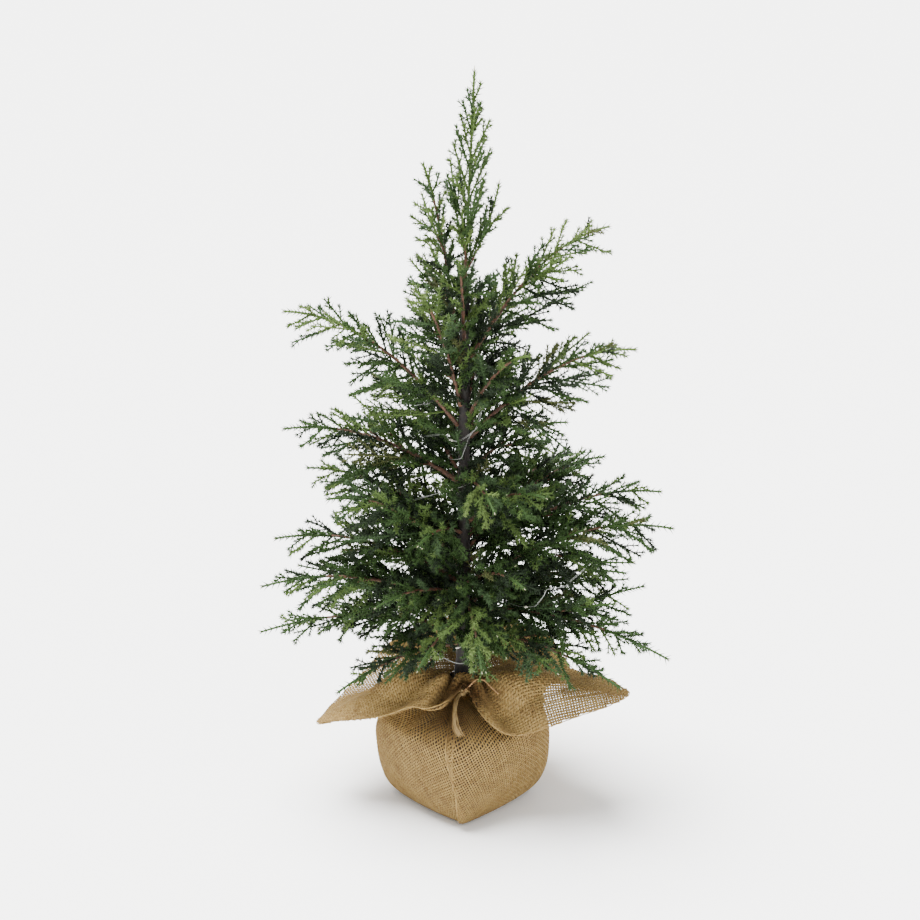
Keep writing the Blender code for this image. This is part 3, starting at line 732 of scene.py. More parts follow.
def weave(names, places, outward, kept, settings, coverage, chance, sizes=(0.6, 1.8)):
    """Threads both ways over a lattice of crossings, each over one and under the next."""
    rows, columns = kept.shape
    sign = np.where((np.add.outer(np.arange(rows), np.arange(columns)) % 2) == 0, 1.0, -1.0)
    lift = 0.5 * settings.crossing * sign[..., None] * outward
    pieces = []
    for way, name in enumerate(names):
        lattice = places + (lift if way == 0 else -lift)
        beside = coverage * np.linalg.norm(np.gradient(places, axis=1 - way), axis=-1)
        ups, inside = outward, kept
        if way == 0:
            lattice, beside = np.swapaxes(lattice, 0, 1), beside.T
            ups, inside = np.swapaxes(ups, 0, 1), kept.T
        low, high = (HALF * np.mean(coverage) * settings.pitch * size for size in sizes)
        bundle = Bundle()
        for i in range(len(lattice)):
            thick = chance.uniform(*THREAD_SPREAD)
            marks = np.flatnonzero(np.diff(np.r_[0, inside[i].astype(int), 0]))
            for start, stop in zip(marks[::2], marks[1::2]):
                if stop - start < 2:
                    continue
                line = lattice[i, start:stop]
                ends = chance.uniform(*LOOSE_END, size=2)
                first = line[0] + ends[0] * (line[0] - line[1])
                last = line[-1] + ends[1] * (line[-1] - line[-2])
                line = np.concatenate([[first], line, [last]])
                index = np.r_[start, start:stop, stop - 1]
                wide = np.clip(HALF * thick * beside[i, index], low, high)
                bundle.tube(line, wide, HALF * settings.depth, ups[i, index], ident=float(i))
        pieces.append(bundle.mesh(name))
    return pieces


# The ball's cloth lies on the bias: laid flat, it is a quarter of a ring this far from its centre.
CLOTH_CENTRE = 0.284
CLOTH_SPREAD = 0.25
BIAS = math.radians(120.5)
BALL_STRAY = 0.00016
BALL_WAVER = 0.0005
CLOTH_FOOT, CLOTH_HEAD = 0.0006, 0.0003  # how far short of the profile's ends it stops
CLOTH_INSET = 0.0003
TUCKED, TUCK_DROP = 0.06, 0.0018  # radians that run on under the lap, and how deep they lie
HEM_TOP = 0.0885
HEM_RADIUS = 0.0006
FILLING_INSET = 0.0019
FILLING_END = 0.0002
MIDDLE_RUN = PROFILE.runs[-1] / 2


def make_ball_cloth(settings):
    """The ball's threads, both ways of the weave, and the lapped edge in front."""
    chance = np.random.default_rng(SEED)
    turns = np.linspace(0, TAU, 2001) + seam_turn(0.05)
    ring = ball_places(turns, np.full_like(turns, PROFILE.runs[4]), 0.0)
    run = run_along(ring)
    extent = CLOTH_CENTRE + MIDDLE_RUN + 0.01
    first, second = lattice_of(extent, settings.pitch, BALL_STRAY, chance)
    first = first + BALL_WAVER * np.sin(36 * second + 3 * np.sin(29 * first))
    second = second + BALL_WAVER * np.sin(31 * first + 3 * np.sin(23 * second))
    x = first * math.cos(BIAS) + second * math.sin(BIAS)
    y = first * math.sin(BIAS) - second * math.cos(BIAS)
    round_it = np.arctan2(y, x) / CLOTH_SPREAD
    runs = CLOTH_CENTRE + MIDDLE_RUN - np.hypot(x, y)
    share = round_it / TAU
    turn = np.interp((share % 1.0) * run[-1], run, turns) + TAU * np.floor(share)
    last = PROFILE.runs[-1] - CLOTH_HEAD
    inner = np.clip(runs, CLOTH_FOOT, last)
    past = turn - seam_turn(PROFILE.at(inner)[0])
    kept = (runs > CLOTH_FOOT) & (runs < last) & (past > 0) & (past < TAU + TUCKED)
    index = np.flatnonzero(kept.any(1)), np.flatnonzero(kept.any(0))
    cut = (slice(index[0][0], index[0][-1] + 1), slice(index[1][0], index[1][-1] + 1))
    under = np.where(past > TAU, TUCK_DROP, 0.0)
    places = ball_places(turn, inner, CLOTH_INSET + under)[cut]
    outward = normals_of(places)
    away = np.sign((outward * (places - np.array((0, 0, 0.05)))).sum(-1, keepdims=True))
    names = ("burlap_threads_one_way", "burlap_threads_other_way")
    pieces = weave(names, places, outward * away, kept[cut], settings, settings.cover, chance)
    hem = Bundle()
    heights = np.linspace(0.001, HEM_TOP, 60)
    edge_runs = np.interp(heights, PROFILE.rows[:, 0], PROFILE.runs)
    turn = seam_turn(heights) + 0.010 + 0.0012 * np.sin(260 * heights)
    hem.tube(ball_places(turn, edge_runs, 0.0), HEM_RADIUS, HEM_RADIUS, ident=500.0)
    return [*pieces, hem.mesh("burlap_lap_edge")]


def make_ball_lining():
    """The base under the cloth, which shows between the threads. The base is real; its near-black
    colour is painted shade.
    """

    def place(turn, share):
        run = FILLING_END + share * (PROFILE.runs[-1] - 2 * FILLING_END)
        return ball_places(np.array(turn), np.array(run), FILLING_INSET)

    return turned_form("ball_filling_painted_shade", sides=112, cuts=46, place=place)


# ---- the flare ---------------------------------------------------------------------------------
EDGE_ROWS = np.array(FLARE_EDGE)
RISE_POWER = 1.4  # how late the cloth climbs to its edge
FLARE_MARGIN = 1.08  # foliage keeps off the cloth to a little past its edge


def edge_at(azimuth, column):
    """The edge's reach or height at azimuths in degrees, on a closed curve through the rows."""
    angles = EDGE_ROWS[:, 0]
    at = angles[0] + (azimuth - angles[0]) % 360
    i = np.searchsorted(angles, at, side="right") - 1
    following = np.append(angles, angles[0] + 360)[i + 1]
    share = (at - angles[i]) / (following - angles[i])
    p0, p1, p2, p3 = (EDGE_ROWS[(i + k) % len(angles), column] for k in (-1, 0, 1, 2))
    return curve_through(p0, p1, p2, p3, share)


def flare_places(azimuth, share):
    """Places on the flare: share is 0 at the throat and 1 at the edge."""
    turn = np.radians(azimuth)
    outward = np.stack([np.cos(turn), np.sin(turn), np.zeros_like(turn)], axis=-1)
    around = np.stack([-np.sin(turn), np.cos(turn), np.zeros_like(turn)], axis=-1)
    reach = THROAT_RADIUS + (edge_at(azimuth, 1) - THROAT_RADIUS) * share
    throat = NECK_TOP + CLEAR
    lift = np.where(share < 0.625, THROAT_LIFT * np.sin(math.pi * np.minimum(1.0, share * 1.6)), 0)
    height = throat + (edge_at(azimuth, 2) - throat) * np.maximum(share, 0) ** RISE_POWER + lift
    aside = np.zeros_like(height)
    for fold, half_width, rise, lean in FLARE_FOLDS:
        beside = (azimuth - fold + 180) % 360 - 180
        part = np.exp(-((beside / half_width) ** 2)) * np.sin(math.pi * np.minimum(share, 1.0))
        height = height + rise * part
        aside = aside + lean * part
    upright = np.stack([np.zeros_like(turn), np.zeros_like(turn), height], axis=-1)
    return reach[..., None] * outward + aside[..., None] * around + upright


def flare_height(x, y):
    """Height of the flare over places, and 0 where it does not reach."""
    azimuth = np.degrees(np.arctan2(y, x))
    edge = edge_at(azimuth, 1)
    share = (np.hypot(x, y) - THROAT_RADIUS) / (edge - THROAT_RADIUS)
    height = flare_places(azimuth, np.clip(share, 0, 1))[..., 2]
    return np.where(share < FLARE_MARGIN, height, 0.0)


CLOTH_TURN = math.radians(17)  # how the cloth's threads lie, seen from above
CLOTH_LIFT = 0.0008
UNDER_TURN = math.radians(52)  # the same for the layer folded under it in front
UNDER_LIFT = -0.0010
UNDER_REACH = (
    (318, 0.97), (326, 0.82), (331, 0.71), (336, 0.62), (341, 0.55), (352, 0.55), (364, 0.62),
)
CORE_LIFT = -0.0001
CORE_HALF = 0.00015
# How closely the flare's threads lie at each azimuth: drawn together in front, open in the wings.
FLARE_CLOSENESS = (
    (0, 1.20), (12, 1.20), (25, 1.30), (110, 1.32), (176, 1.26), (192, 1.12), (318, 1.06),
    (336, 1.12), (346, 1.22), (360, 1.20),
)
UNDER_FROM, UNDER_TO = 180, 359
FLARE_DRAW = 0.94  # the flare's threads lie a little closer than the ball's
FLARE_STRAY = 0.00007
# Behind on the left the outer part is more open: azimuths, share of the cover lost, and where.
OPEN_FROM, OPEN_TO, OPEN_FADE = 136, 184, 6
OPEN_LOSS, OPEN_PART, OPEN_PART_FADE = 0.30, 0.62, 0.12
CORE_FROM, CORE_SHORT, CORE_COLUMNS = 0.06, 0.01, 48
EDGE_THREAD, EDGE_THREAD_SWELL, EDGE_THREAD_DEPTH = 0.00038, 0.0001, 0.0004
AZIMUTH_STEP = 0.5
EVEN_PARTS = np.linspace(0, 1, 65)


def flare_lengths():
    """Length of cloth from throat to edge all round, and the share at even parts of it."""
    azimuths = np.arange(0.0, 361.0, AZIMUTH_STEP)
    shares = np.linspace(0, 1, 81)
    grid = flare_places(*np.meshgrid(azimuths, shares, indexing="ij"))
    steps = np.linalg.norm(np.diff(grid, axis=1), axis=-1)
    run = np.concatenate([np.zeros((len(azimuths), 1)), np.cumsum(steps, axis=1)], axis=1)
    even = np.array([np.interp(EVEN_PARTS * row[-1], row, shares) for row in run])
    return run[:, -1], even


def flare_layer(names, settings, turn, lift, chance, under=False):
    """One layer of the flare's cloth: its threads, both ways of the weave."""
    lengths, even = flare_lengths()
    extent = THROAT_RADIUS + lengths.max() + 0.004
    first, second = lattice_of(extent, FLARE_DRAW * settings.pitch, FLARE_STRAY, chance)
    x = first * math.cos(turn) - second * math.sin(turn)
    y = first * math.sin(turn) + second * math.cos(turn)
    azimuth = np.degrees(np.arctan2(y, x)) % 360
    row = azimuth / AZIMUTH_STEP
    low, rest = np.floor(row).astype(int), row - np.floor(row)
    length = (1 - rest) * lengths[low] + rest * lengths[low + 1]
    part = (np.hypot(x, y) - THROAT_RADIUS) / length
    column = np.clip(part, 0, 0.9999) * (len(EVEN_PARTS) - 1)
    left, over = np.floor(column).astype(int), column - np.floor(column)
    near = (1 - over) * even[low, left] + over * even[low, left + 1]
    far = (1 - over) * even[low + 1, left] + over * even[low + 1, left + 1]
    share = (1 - rest) * near + rest * far + np.maximum(part - 1, 0)
    places = flare_places(azimuth, np.clip(share, 0, 1.06))
    up = upward_normals(places)
    cover = settings.flare_cover * np.interp(azimuth, *zip(*FLARE_CLOSENESS))
    if under:
        kept = (part > 0.05) & (part < np.interp(azimuth, *zip(*UNDER_REACH)))
        kept &= (azimuth > UNDER_FROM) & (azimuth < UNDER_TO)
    else:
        kept = (part > -0.02) & (part < 0.995)
        opened = np.clip((azimuth - OPEN_FROM) / OPEN_FADE, 0, 1)
        opened = opened * np.clip((OPEN_TO - azimuth) / OPEN_FADE, 0, 1)
        cover *= 1 - OPEN_LOSS * opened * np.clip((part - OPEN_PART) / OPEN_PART_FADE, 0, 1)
    return weave(names, places + lift * up, up, kept, settings, cover, chance)


def make_flare_core():
    """A dark sheet between the two layers in front, whose colour is painted shade."""
    azimuths = np.arange(UNDER_FROM + 1.0, UNDER_TO - 0.5, 1.0)
    reach = np.interp(azimuths, *zip(*UNDER_REACH)) - CORE_SHORT
    parts = CORE_FROM + np.linspace(0, 1, CORE_COLUMNS) * (reach[:, None] - CORE_FROM)
    even = flare_lengths()[1][(azimuths / AZIMUTH_STEP).astype(int)]
    shares = [np.interp(row, EVEN_PARTS, known) for row, known in zip(parts, even)]
    places = flare_places(np.repeat(azimuths[:, None], CORE_COLUMNS, 1), np.array(shares))
    up = upward_normals(places)
    core = Bundle()
    core.shell(places + (CORE_LIFT + CORE_HALF) * up, places + (CORE_LIFT - CORE_HALF) * up)
    return core.mesh("flare_fold_painted_shade")


def make_flare_cloth(settings):
    """The flare's cloth, the layer folded under it in front, and the thread along its edge."""
    chance = np.random.default_rng(SEED + 1)
    names = ("flare_threads_one_way", "flare_threads_other_way")
    pieces = flare_layer(names, settings, CLOTH_TURN, CLOTH_LIFT, chance)
    names = ("flare_fold_one_way", "flare_fold_other_way")
    pieces += flare_layer(names, settings, UNDER_TURN, UNDER_LIFT, chance, under=True)
    hem = Bundle()
    azimuths = np.linspace(5, 365, 721)
    edge = flare_places(azimuths % 360, np.full_like(azimuths, 0.997))
    edge[:, 2] += CLOTH_LIFT + 0.0002 * np.sin(3.1 * azimuths)
    wide = EDGE_THREAD + EDGE_THREAD_SWELL * np.sin(1.7 * azimuths)
    hem.tube(edge, wide, EDGE_THREAD_DEPTH, UPRIGHT)
    return [*pieces, hem.mesh("flare_edge_thread")]


# ---- twine -------------------------------------------------------------------------------------
def resampled(points, step):
    """Points at even distances along a smooth curve through the given ones."""
    points = np.asarray(points, dtype=float)
    padded = np.concatenate([[2 * points[0] - points[1]], points, [2 * points[-1] - points[-2]]])
    share = np.linspace(0, 1, 16, endpoint=False)[:, None]
    fours = zip(padded, padded[1:], padded[2:], padded[3:])
    fine = np.concatenate([*(curve_through(*four, share) for four in fours), points[-1:]])
    run = run_along(fine)
    at = np.linspace(0, run[-1], max(2, round(run[-1] / step) + 1))
    return read_at(at, run, fine), at


PLY_RADIUS = 0.56  # over the cord's radius
TURN_STEPS = 9  # points along one turn of a ply


def plied(bundle, path, radius, plies=3, twist=0.0052, ident=0.0):
    """A twisted cord of several plies along a path."""
    line, run = resampled(path, twist / TURN_STEPS)
    along = unit(np.gradient(line, axis=0))
    side = side_of(along.mean(axis=0)[None] + 1e-6)
    side = unit(side - (side * along).sum(-1, keepdims=True) * along)
    over = np.cross(along, side)
    out = radius * (0.5 if plies > 2 else 0.46)
    for ply in range(plies):
        strand = line + out * each_leaning(side, over, TAU * (run / twist + ply / plies))
        bundle.tube(strand, PLY_RADIUS * radius, sides=5, ident=ident + ply)


def trefoil(centre, size):
    """The line of an overhand knot."""
    turn = np.linspace(0, TAU, 49)
    x = np.sin(turn) + 2 * np.sin(2 * turn)
    y = np.cos(turn) - 2 * np.cos(2 * turn)
    return centre + size / 3 * np.stack([x, 0.9 * -np.sin(3 * turn), y], axis=1)


HANGING_TAIL = (
    (-0.0010, -0.0205, 0.1020), (-0.0055, -0.0300, 0.1015), (-0.0068, -0.0430, 0.0975),
    (-0.0064, -0.0535, 0.0922), (-0.0050, -0.0590, 0.0885), (-0.0020, -0.0625, 0.0845),
)
THIN_TAIL = (
    (0.0010, -0.0205, 0.1040), (0.0045, -0.0300, 0.1120), (0.0110, -0.0300, 0.1185),
    (0.0171, -0.0300, 0.1180), (0.0228, -0.0340, 0.1140), (0.0284, -0.0380, 0.1100),
)

TWINE_RADIUS = 0.00100
TAIL_RADIUS = 0.00095
THIN_RADIUS, THIN_TWIST = 0.00062, 0.0040
RING_POINTS, RING_RISE = 130, 0.00105
KNOT_SIZE = 0.0028
FRAYS, FRAY_STEP = 26, 0.0012
FRAY_FOOT, FRAY_SPREAD, FRAY_SWAY = 0.0007, 0.0011, 0.0004
FRAY_RADII = (0.00034, 0.00016)


def make_twine():
    """Two turns round the neck, their knot, the frayed tail and the thin twisted one."""
    bundle, thin = Bundle(), Bundle()
    turn = np.linspace(-0.5 * math.pi, 3.5 * math.pi, RING_POINTS)
    rise = np.linspace(-RING_RISE, RING_RISE, RING_POINTS)
    x, y = TIE_RADIUS * np.cos(turn), TIE_RADIUS * np.sin(turn)
    ring = np.stack([x, y, TIE_HEIGHT + rise], axis=1)
    plied(bundle, ring[::2], TWINE_RADIUS)
    knot_at = np.array((0, -TIE_RADIUS - KNOT_OUT, TIE_HEIGHT))
    plied(bundle, trefoil(knot_at, KNOT_SIZE), TWINE_RADIUS, ident=3.0)
    plied(bundle, HANGING_TAIL[:4], TAIL_RADIUS, ident=6.0)
    chance = np.random.default_rng(SEED + 2)
    tail = resampled(HANGING_TAIL, FRAY_STEP)[0]
    for k in range(FRAYS):
        start = int(chance.integers(0, len(tail) // 3))
        fibre = tail[start:].copy()
        share = np.linspace(0, 1, len(fibre))[:, None]
        spread = chance.normal(size=(1, 3)) * (FRAY_FOOT + FRAY_SPREAD * share**2)
        sway = FRAY_SWAY * np.sin(TAU * (1.5 * share + chance.uniform(size=(1, 3))))
        fibre = fibre + spread * (1.0, 0.5, 0.5) + sway
        bundle.tube(fibre, np.linspace(*FRAY_RADII, len(fibre)), sides=3, ident=20.0 + k)
    plied(thin, THIN_TAIL, THIN_RADIUS, plies=2, twist=THIN_TWIST)
    return bundle.mesh("jute_twine_tie"), thin.mesh("thin_twine_end")


# ---- trunk and boughs --------------------------------------------------------------------------
def trunk_centre(height):
    share = (height - TRUNK_FOOT) / (TRUNK_TOP - TRUNK_FOOT)
    lean = np.maximum(0.0, (share - TRUNK_SPREAD) / (1 - TRUNK_SPREAD))
    return TRUNK_LEAN * lean


def trunk_radius(height):
    share = (height - TRUNK_FOOT) / (TRUNK_TOP - TRUNK_FOOT)
    spread = (TRUNK_FOOT_RADIUS - TRUNK_LOW_RADIUS) * np.maximum(0.0, 1 - share / TRUNK_SPREAD)
    return TRUNK_LOW_RADIUS + (TRUNK_TOP_RADIUS - TRUNK_LOW_RADIUS) * share + spread


class Bough:
    """A bough's bowed line, from the trunk's surface to its tip."""

    def __init__(self, name, azimuth, foot_height, reach, tip_height, main):
        self.name, self.main = name, main
        self.turn, self.foot_height = math.radians(azimuth), foot_height
        outward = outward_at(self.turn)
        rise = tip_height - foot_height
        self.arch = ARCH_BY_REACH * reach + ARCH_BY_RISE * max(rise, 0)
        slope = math.atan2(rise + 4 * self.arch, reach)
        thick = LIMB_FOOT_RADIUS if main else STEM_RADIUS
        start = trunk_radius(foot_height) + CLEAR + thick * abs(math.sin(slope))
        self.foot = np.array((trunk_centre(foot_height), 0, foot_height)) + start * outward
        self.tip = np.array((0, 0, tip_height)) + reach * outward
        self.measure()

    def measure(self):
        self.points = self.at(np.linspace(0, 1, LINE_POINTS))
        self.length = float(np.linalg.norm(np.diff(self.points, axis=0), axis=1).sum())

    def at(self, share):
        share = np.clip(share, 0, 1)[..., None]
        bow = 4 * self.arch * share * (1 - share) * UPRIGHT
        return self.foot + share * (self.tip - self.foot) + bow

    def heading(self, share):
        return unit(self.at(np.asarray(share + 0.03)) - self.at(np.asarray(share - 0.03)))


def leader():
    """The leader runs on from the trunk's top, straight to the tree's top."""
    line = Bough("leader", 20, TRUNK_TOP, LEADER_LEAN, TREE_TOP, False)
    line.foot = np.array((trunk_centre(TRUNK_TOP), 0, TRUNK_TOP))
    line.tip = np.array((LEADER_LEAN, 0, TREE_TOP))
    line.arch = 0.0
    line.measure()
    return line


ALL_BOUGHS = [Bough(*row) for row in BOUGHS] + [leader()]


class Fork(Bough):
    """A thinner branch that leaves a bough part of the way out and bends back along it."""

    def __init__(self, bough, share, aside, rise, length):
        self.name, self.main, self.arch = bough.name, False, 0.0
        heading = bough.heading(np.asarray(share))
        level = unit(np.cross(heading, UPRIGHT))
        ahead = leaning(heading, level, aside) + rise * np.cross(level, heading)
        self.foot = bough.at(np.asarray(share))
        self.foot_height = float(self.foot[2])
        self.tip = self.foot + length * unit(ahead)
        self.back = 0.16 * length * unit(heading - math.cos(aside) * unit(ahead))
        self.measure()

    def at(self, share):
        share = np.clip(share, 0, 1)[..., None]
        return self.foot + share * (self.tip - self.foot) - share * (1 - share) * self.back


# On the leader: share, lean towards the front, lean to the left and length.
LEADER_FORKS = ((0.03, 0.10, -0.30, 0.080), (0.22, -0.12, 0.26, 0.062), (0.10, 0.40, 0.10, 0.050))

# More where the crown is full: the bough, then share, turn aside, rise and length.
MORE_FORKS = {
    "low_front": (
        (0.12, -0.30, -0.55, 0.058),
        (0.30, -0.50, -0.45, 0.055),
        (0.42, -0.15, -0.60, 0.050),
    ),
    "lower_right": ((0.30, 0.30, -0.50, 0.088),),
    "low_right": ((0.40, 0.50, 0.50, 0.082), (0.45, -0.30, 0.50, 0.075)),
    "lower_side_right": ((0.35, 0.40, -0.10, 0.085),),
    "lower_left": ((0.30, 0.40, -0.20, 0.085),),
    "upper_left": ((0.30, -0.20, 0.50, 0.062),),
}

FORKLESS_UNDER = 0.085  # boughs shorter than this have no forks
TWO_FORKS_OVER, TWO_FORKS_BELOW = 0.12, 0.27  # longer, and lower, than this they have two
INNER_FORK_OVER, INNER_FORK_BELOW, INNER_FORK = 0.10, 0.36, 0.046


def forks_of(bough, chance):
    """Two forks to each long bough, one to each shorter one, and a short one near the trunk."""
    if bough.name == "leader":
        return [Fork(bough, *row) for row in LEADER_FORKS]
    if bough.length < FORKLESS_UNDER or bough.name == "low_front_left":
        return []
    two = bough.length > TWO_FORKS_OVER and bough.foot_height < TWO_FORKS_BELOW
    hands = (1, -1) if two else (chance.choice((1, -1)),)
    forks = [Fork(bough, *row) for row in MORE_FORKS.get(bough.name, ())]
    if bough.length > INNER_FORK_OVER and bough.foot_height < INNER_FORK_BELOW:
        aside = chance.choice((1, -1)) * math.radians(chance.uniform(38, 58))
        rise = chance.uniform(-0.35, 0.35)
        forks.append(Fork(bough, chance.uniform(0.10, 0.20), aside, rise, INNER_FORK))
    for hand in hands:
        share = chance.uniform(0.26, 0.46)
        aside = hand * math.radians(chance.uniform(24, 36))
        length = bough.length * (1 - share) * chance.uniform(0.48, 0.68)
        forks.append(Fork(bough, share, aside, chance.uniform(-0.12, 0.06), length))
    return forks


_chance = np.random.default_rng(SEED + 5)
FORKS = [(owner, fork) for owner, b in enumerate(ALL_BOUGHS) for fork in forks_of(b, _chance)]


GREEN_FROM = 0.68  # past this share of a bough its stem is green
FORK_GREEN_FROM = 0.30
TAPE_PAST_GREEN = 0.04
TAPE_LAP, TAPE_EDGE = 0.85, 0.15  # shares of a turn that rise slowly and fall away
LUMPS = 0.00018
BOUND_SWELL, BOUND_HEIGHT, BOUND_CLOSENESS = 0.0007, 0.0035, 3.5
BARK_INSET = 0.0002
WIRE_STEP = 0.0018
STEM_FOOT_RADIUS, WIRE_END_RADIUS = 0.0018, 0.0006
RIDGE, RIDGE_PITCH = 0.10, 0.0042
BARE_RADII = (0.00042, 0.00040, 0.00036, 0.00028)
FORK_RADII, FORK_POINTS = (0.00095, 0.0006), 14
FORK_BARE_RADII = (0.0004, 0.00038, 0.00034, 0.00026)


def make_trunk(settings):
    """The trunk, wound with tape whose turns overlap, and swollen where boughs are bound in."""
    pitch, step = settings.tape_pitch, settings.tape_step

    def place(turn, share):
        height = TRUNK_FOOT + share * (TRUNK_TOP - TRUNK_FOOT)
        wound = (height / pitch - turn / TAU) % 1.0
        relief = step * (min(wound / TAPE_LAP, 1.0) - max(0.0, (wound - TAPE_LAP) / TAPE_EDGE))
        relief += LUMPS * math.sin(5 * turn + 240 * height) * math.sin(90 * height)
        for bough in ALL_BOUGHS[:-1]:
            above = (height - bough.foot_height) / BOUND_HEIGHT
            if abs(above) < 3:
                beside = math.cos(turn - bough.turn) - 1
                relief += BOUND_SWELL * math.exp(-above * above + BOUND_CLOSENESS * beside)
        radius = trunk_radius(height) + relief - BARK_INSET
        x = trunk_centre(height) + radius * math.cos(turn)
        return (x, radius * math.sin(turn), height)

    return turned_form("trunk_bark", sides=28, cuts=260, place=place)


def make_bough_wires():
    """The taped wires of the boughs, and the bare wire ends at their tips."""
    taped, bare = Bundle(), Bundle()
    for k, bough in enumerate(ALL_BOUGHS):
        end_share = 0.1 if bough.name == "leader" else GREEN_FROM + TAPE_PAST_GREEN
        count = max(8, round(end_share * bough.length / WIRE_STEP))
        shares = np.linspace(0, end_share, count)
        line = bough.at(shares)
        line[0] = line[0] - 0.0012 * bough.heading(0.0)
        foot = LIMB_FOOT_RADIUS if bough.main else STEM_FOOT_RADIUS
        radii = foot + (WIRE_END_RADIUS - foot) * shares**0.7
        ridges = 1 + RIDGE * (((shares * bough.length) / RIDGE_PITCH) % 1.0 - 0.5)
        taped.tube(line, radii * ridges, sides=6, ident=float(k))
        end = bough.at(np.linspace(0.98 - BARE_TIP / bough.length, 1, 4))
        bare.tube(end, BARE_RADII, sides=5, ident=float(k))
    for k, (_, fork) in enumerate(FORKS):
        line = fork.at(np.linspace(0, FORK_GREEN_FROM + TAPE_PAST_GREEN, FORK_POINTS))
        taped.tube(line, np.linspace(*FORK_RADII, FORK_POINTS), sides=5, ident=60.0 + k)
        end = fork.at(np.linspace(0.98 - 0.5 * BARE_TIP / fork.length, 1, 4))
        bare.tube(end, FORK_BARE_RADII, sides=5, ident=60.0 + k)
    return taped.mesh("bough_wires"), bare.mesh("bough_wire_ends")


# ---- foliage -----------------------------------------------------------------------------------
TONES = ("deep", "cedar", "cool", "fresh", "tip", "olive")
INNER_TONES = (0.34, 0.43, 0.13, 0.07, 0.00, 0.03)
OUTER_TONES = (0.12, 0.42, 0.16, 0.24, 0.03, 0.03)
TOP_TONES = (0.03, 0.26, 0.20, 0.35, 0.11, 0.05)
BRIGHT_BOUGHS = (
    "low_front", "low_front_centre", "upper_front", "middle_front_left", "high_front_left",
)
PIECE_LIMIT = 185000  # triangles
CLOTH_TOP, CLOTH_CLEAR = 0.13, 0.0016  # the cloth is all below this, and foliage this far off it
# A needle's lean from its twig in degrees, and how much less it is at the twig's tip.
NEEDLE_LEAN, TIP_LEAN_LESS = 58, 16
NEEDLE_TURN_SPREAD, NEEDLE_LEAN_SPREAD, NEEDLE_SPREAD = 0.25, 0.16, (0.80, 1.15)
BUD_LENGTH, BUD_SPREAD, BUD_BACK = 0.75, 0.62, 0.0006


class Space:
    """Which place belongs to which bough, so that the masses of foliage keep apart."""

    def __init__(self, boughs):
        lines = np.array([bough.points for bough in boughs])
        self.start = lines[:, :-1]
        self.along = np.diff(lines, axis=1)
        self.square = (self.along**2).sum(-1)

    def holds(self, owner, points, room, shared):
        """Whether points miss every limb and the cloth, and keep near enough to their bough."""
        offset = points[:, None, None] - self.start
        share = np.clip((offset * self.along).sum(-1) / self.square, 0, 1)
        offset -= share[..., None] * self.along
        apart = np.sqrt((offset**2).sum(-1)).min(-1)
        if owner is not None:
            own = apart[:, owner].copy()
            apart[:, owner] = 1.0
            if (apart.min(1) - own < 2 * room - shared).any():
                return False
        if (apart.min(1) < room + LIMB_TIP_RADIUS).any():
            return False
        x, y, height = points.T
        to_trunk = np.hypot(x - trunk_centre(height), y)
        if ((height < TRUNK_TOP + room) & (to_trunk < trunk_radius(height) + 2 * room)).any():
            return False
        if height.min() < CLOTH_TOP:
            return not (height < flare_height(x, y) + CLOTH_CLEAR + 2 * room).any()
        return True


class Foliage:
    """Twigs and needles, kept by tone."""

    def __init__(self, settings, chance):
        self.settings, self.chance = settings, chance
        self.bundles = {}

    def bundle(self, kind, tone):
        held = self.bundles.setdefault((kind, tone), [Bundle()])
        if held[-1].triangles() > PIECE_LIMIT:
            held.append(Bundle())
        return held[-1]

    def twig(self, line, foot_radius, tip_radius, tone, gap, length, first=0.0, sides=3):
        radii = np.linspace(foot_radius, tip_radius, len(line))
        self.bundle("twigs", tone).tube(line, radii, sides=sides)
        self.needles(line, radii, tone, gap, length, first)

    def needles(self, line, radii, tone, gap, length, first=0.0):
        """Pairs of needles, each pair square to the last, and four more that close the tip."""
        chance, settings = self.chance, self.settings
        run = run_along(line)
        count = max(2, int(run[-1] * (1 - first) / gap))
        share = first + (1 - first) * (np.arange(count) + 0.6) / (count + 0.3)
        along = unit(np.gradient(line, axis=0))
        at = share * run[-1]
        roots = read_at(at, run, line)
        heading = unit(read_at(at, run, along))
        radius = np.interp(at, run, radii)
        side = side_of(heading)
        over = np.cross(heading, side)
        base = chance.uniform(0, TAU) + 0.5 * math.pi * (np.arange(count) % 2)
        forward = np.radians(NEEDLE_LEAN - TIP_LEAN_LESS * share**3)
        roots_all, along_all, lengths = [], [], []
        for turn in (base, base + math.pi):
            turn = turn + chance.uniform(-NEEDLE_TURN_SPREAD, NEEDLE_TURN_SPREAD, count)
            lean = forward + chance.uniform(-NEEDLE_LEAN_SPREAD, NEEDLE_LEAN_SPREAD, count)
            out = each_leaning(side, over, turn)
            along_all.append(each_leaning(heading, out, lean))
            roots_all.append(roots + 0.4 * radius[:, None] * out)
            lengths.append(length * chance.uniform(*NEEDLE_SPREAD, count) + 0.6 * radius)
        turn = chance.uniform(0, TAU) + 0.5 * math.pi * np.arange(4)
        along_all.append(unit(along[-1] + BUD_SPREAD * each_leaning(side[-1], over[-1], turn)))
        roots_all.append(np.repeat(line[-1:], 4, axis=0) - BUD_BACK * along[-1])
        lengths.append(np.full(4, BUD_LENGTH * length + BUD_BACK))
        self.bundle("needles", tone).spikes(
            np.concatenate(roots_all),
            np.concatenate(along_all),
            np.concatenate(lengths),
            settings.needle_radius,
        )


def rotated(vector, about, angle):
    """A vector turned by an angle about a direction."""
    c, s = math.cos(angle), math.sin(angle)
    return c * vector + s * np.cross(about, vector) + (1 - c) * np.dot(about, vector) * about


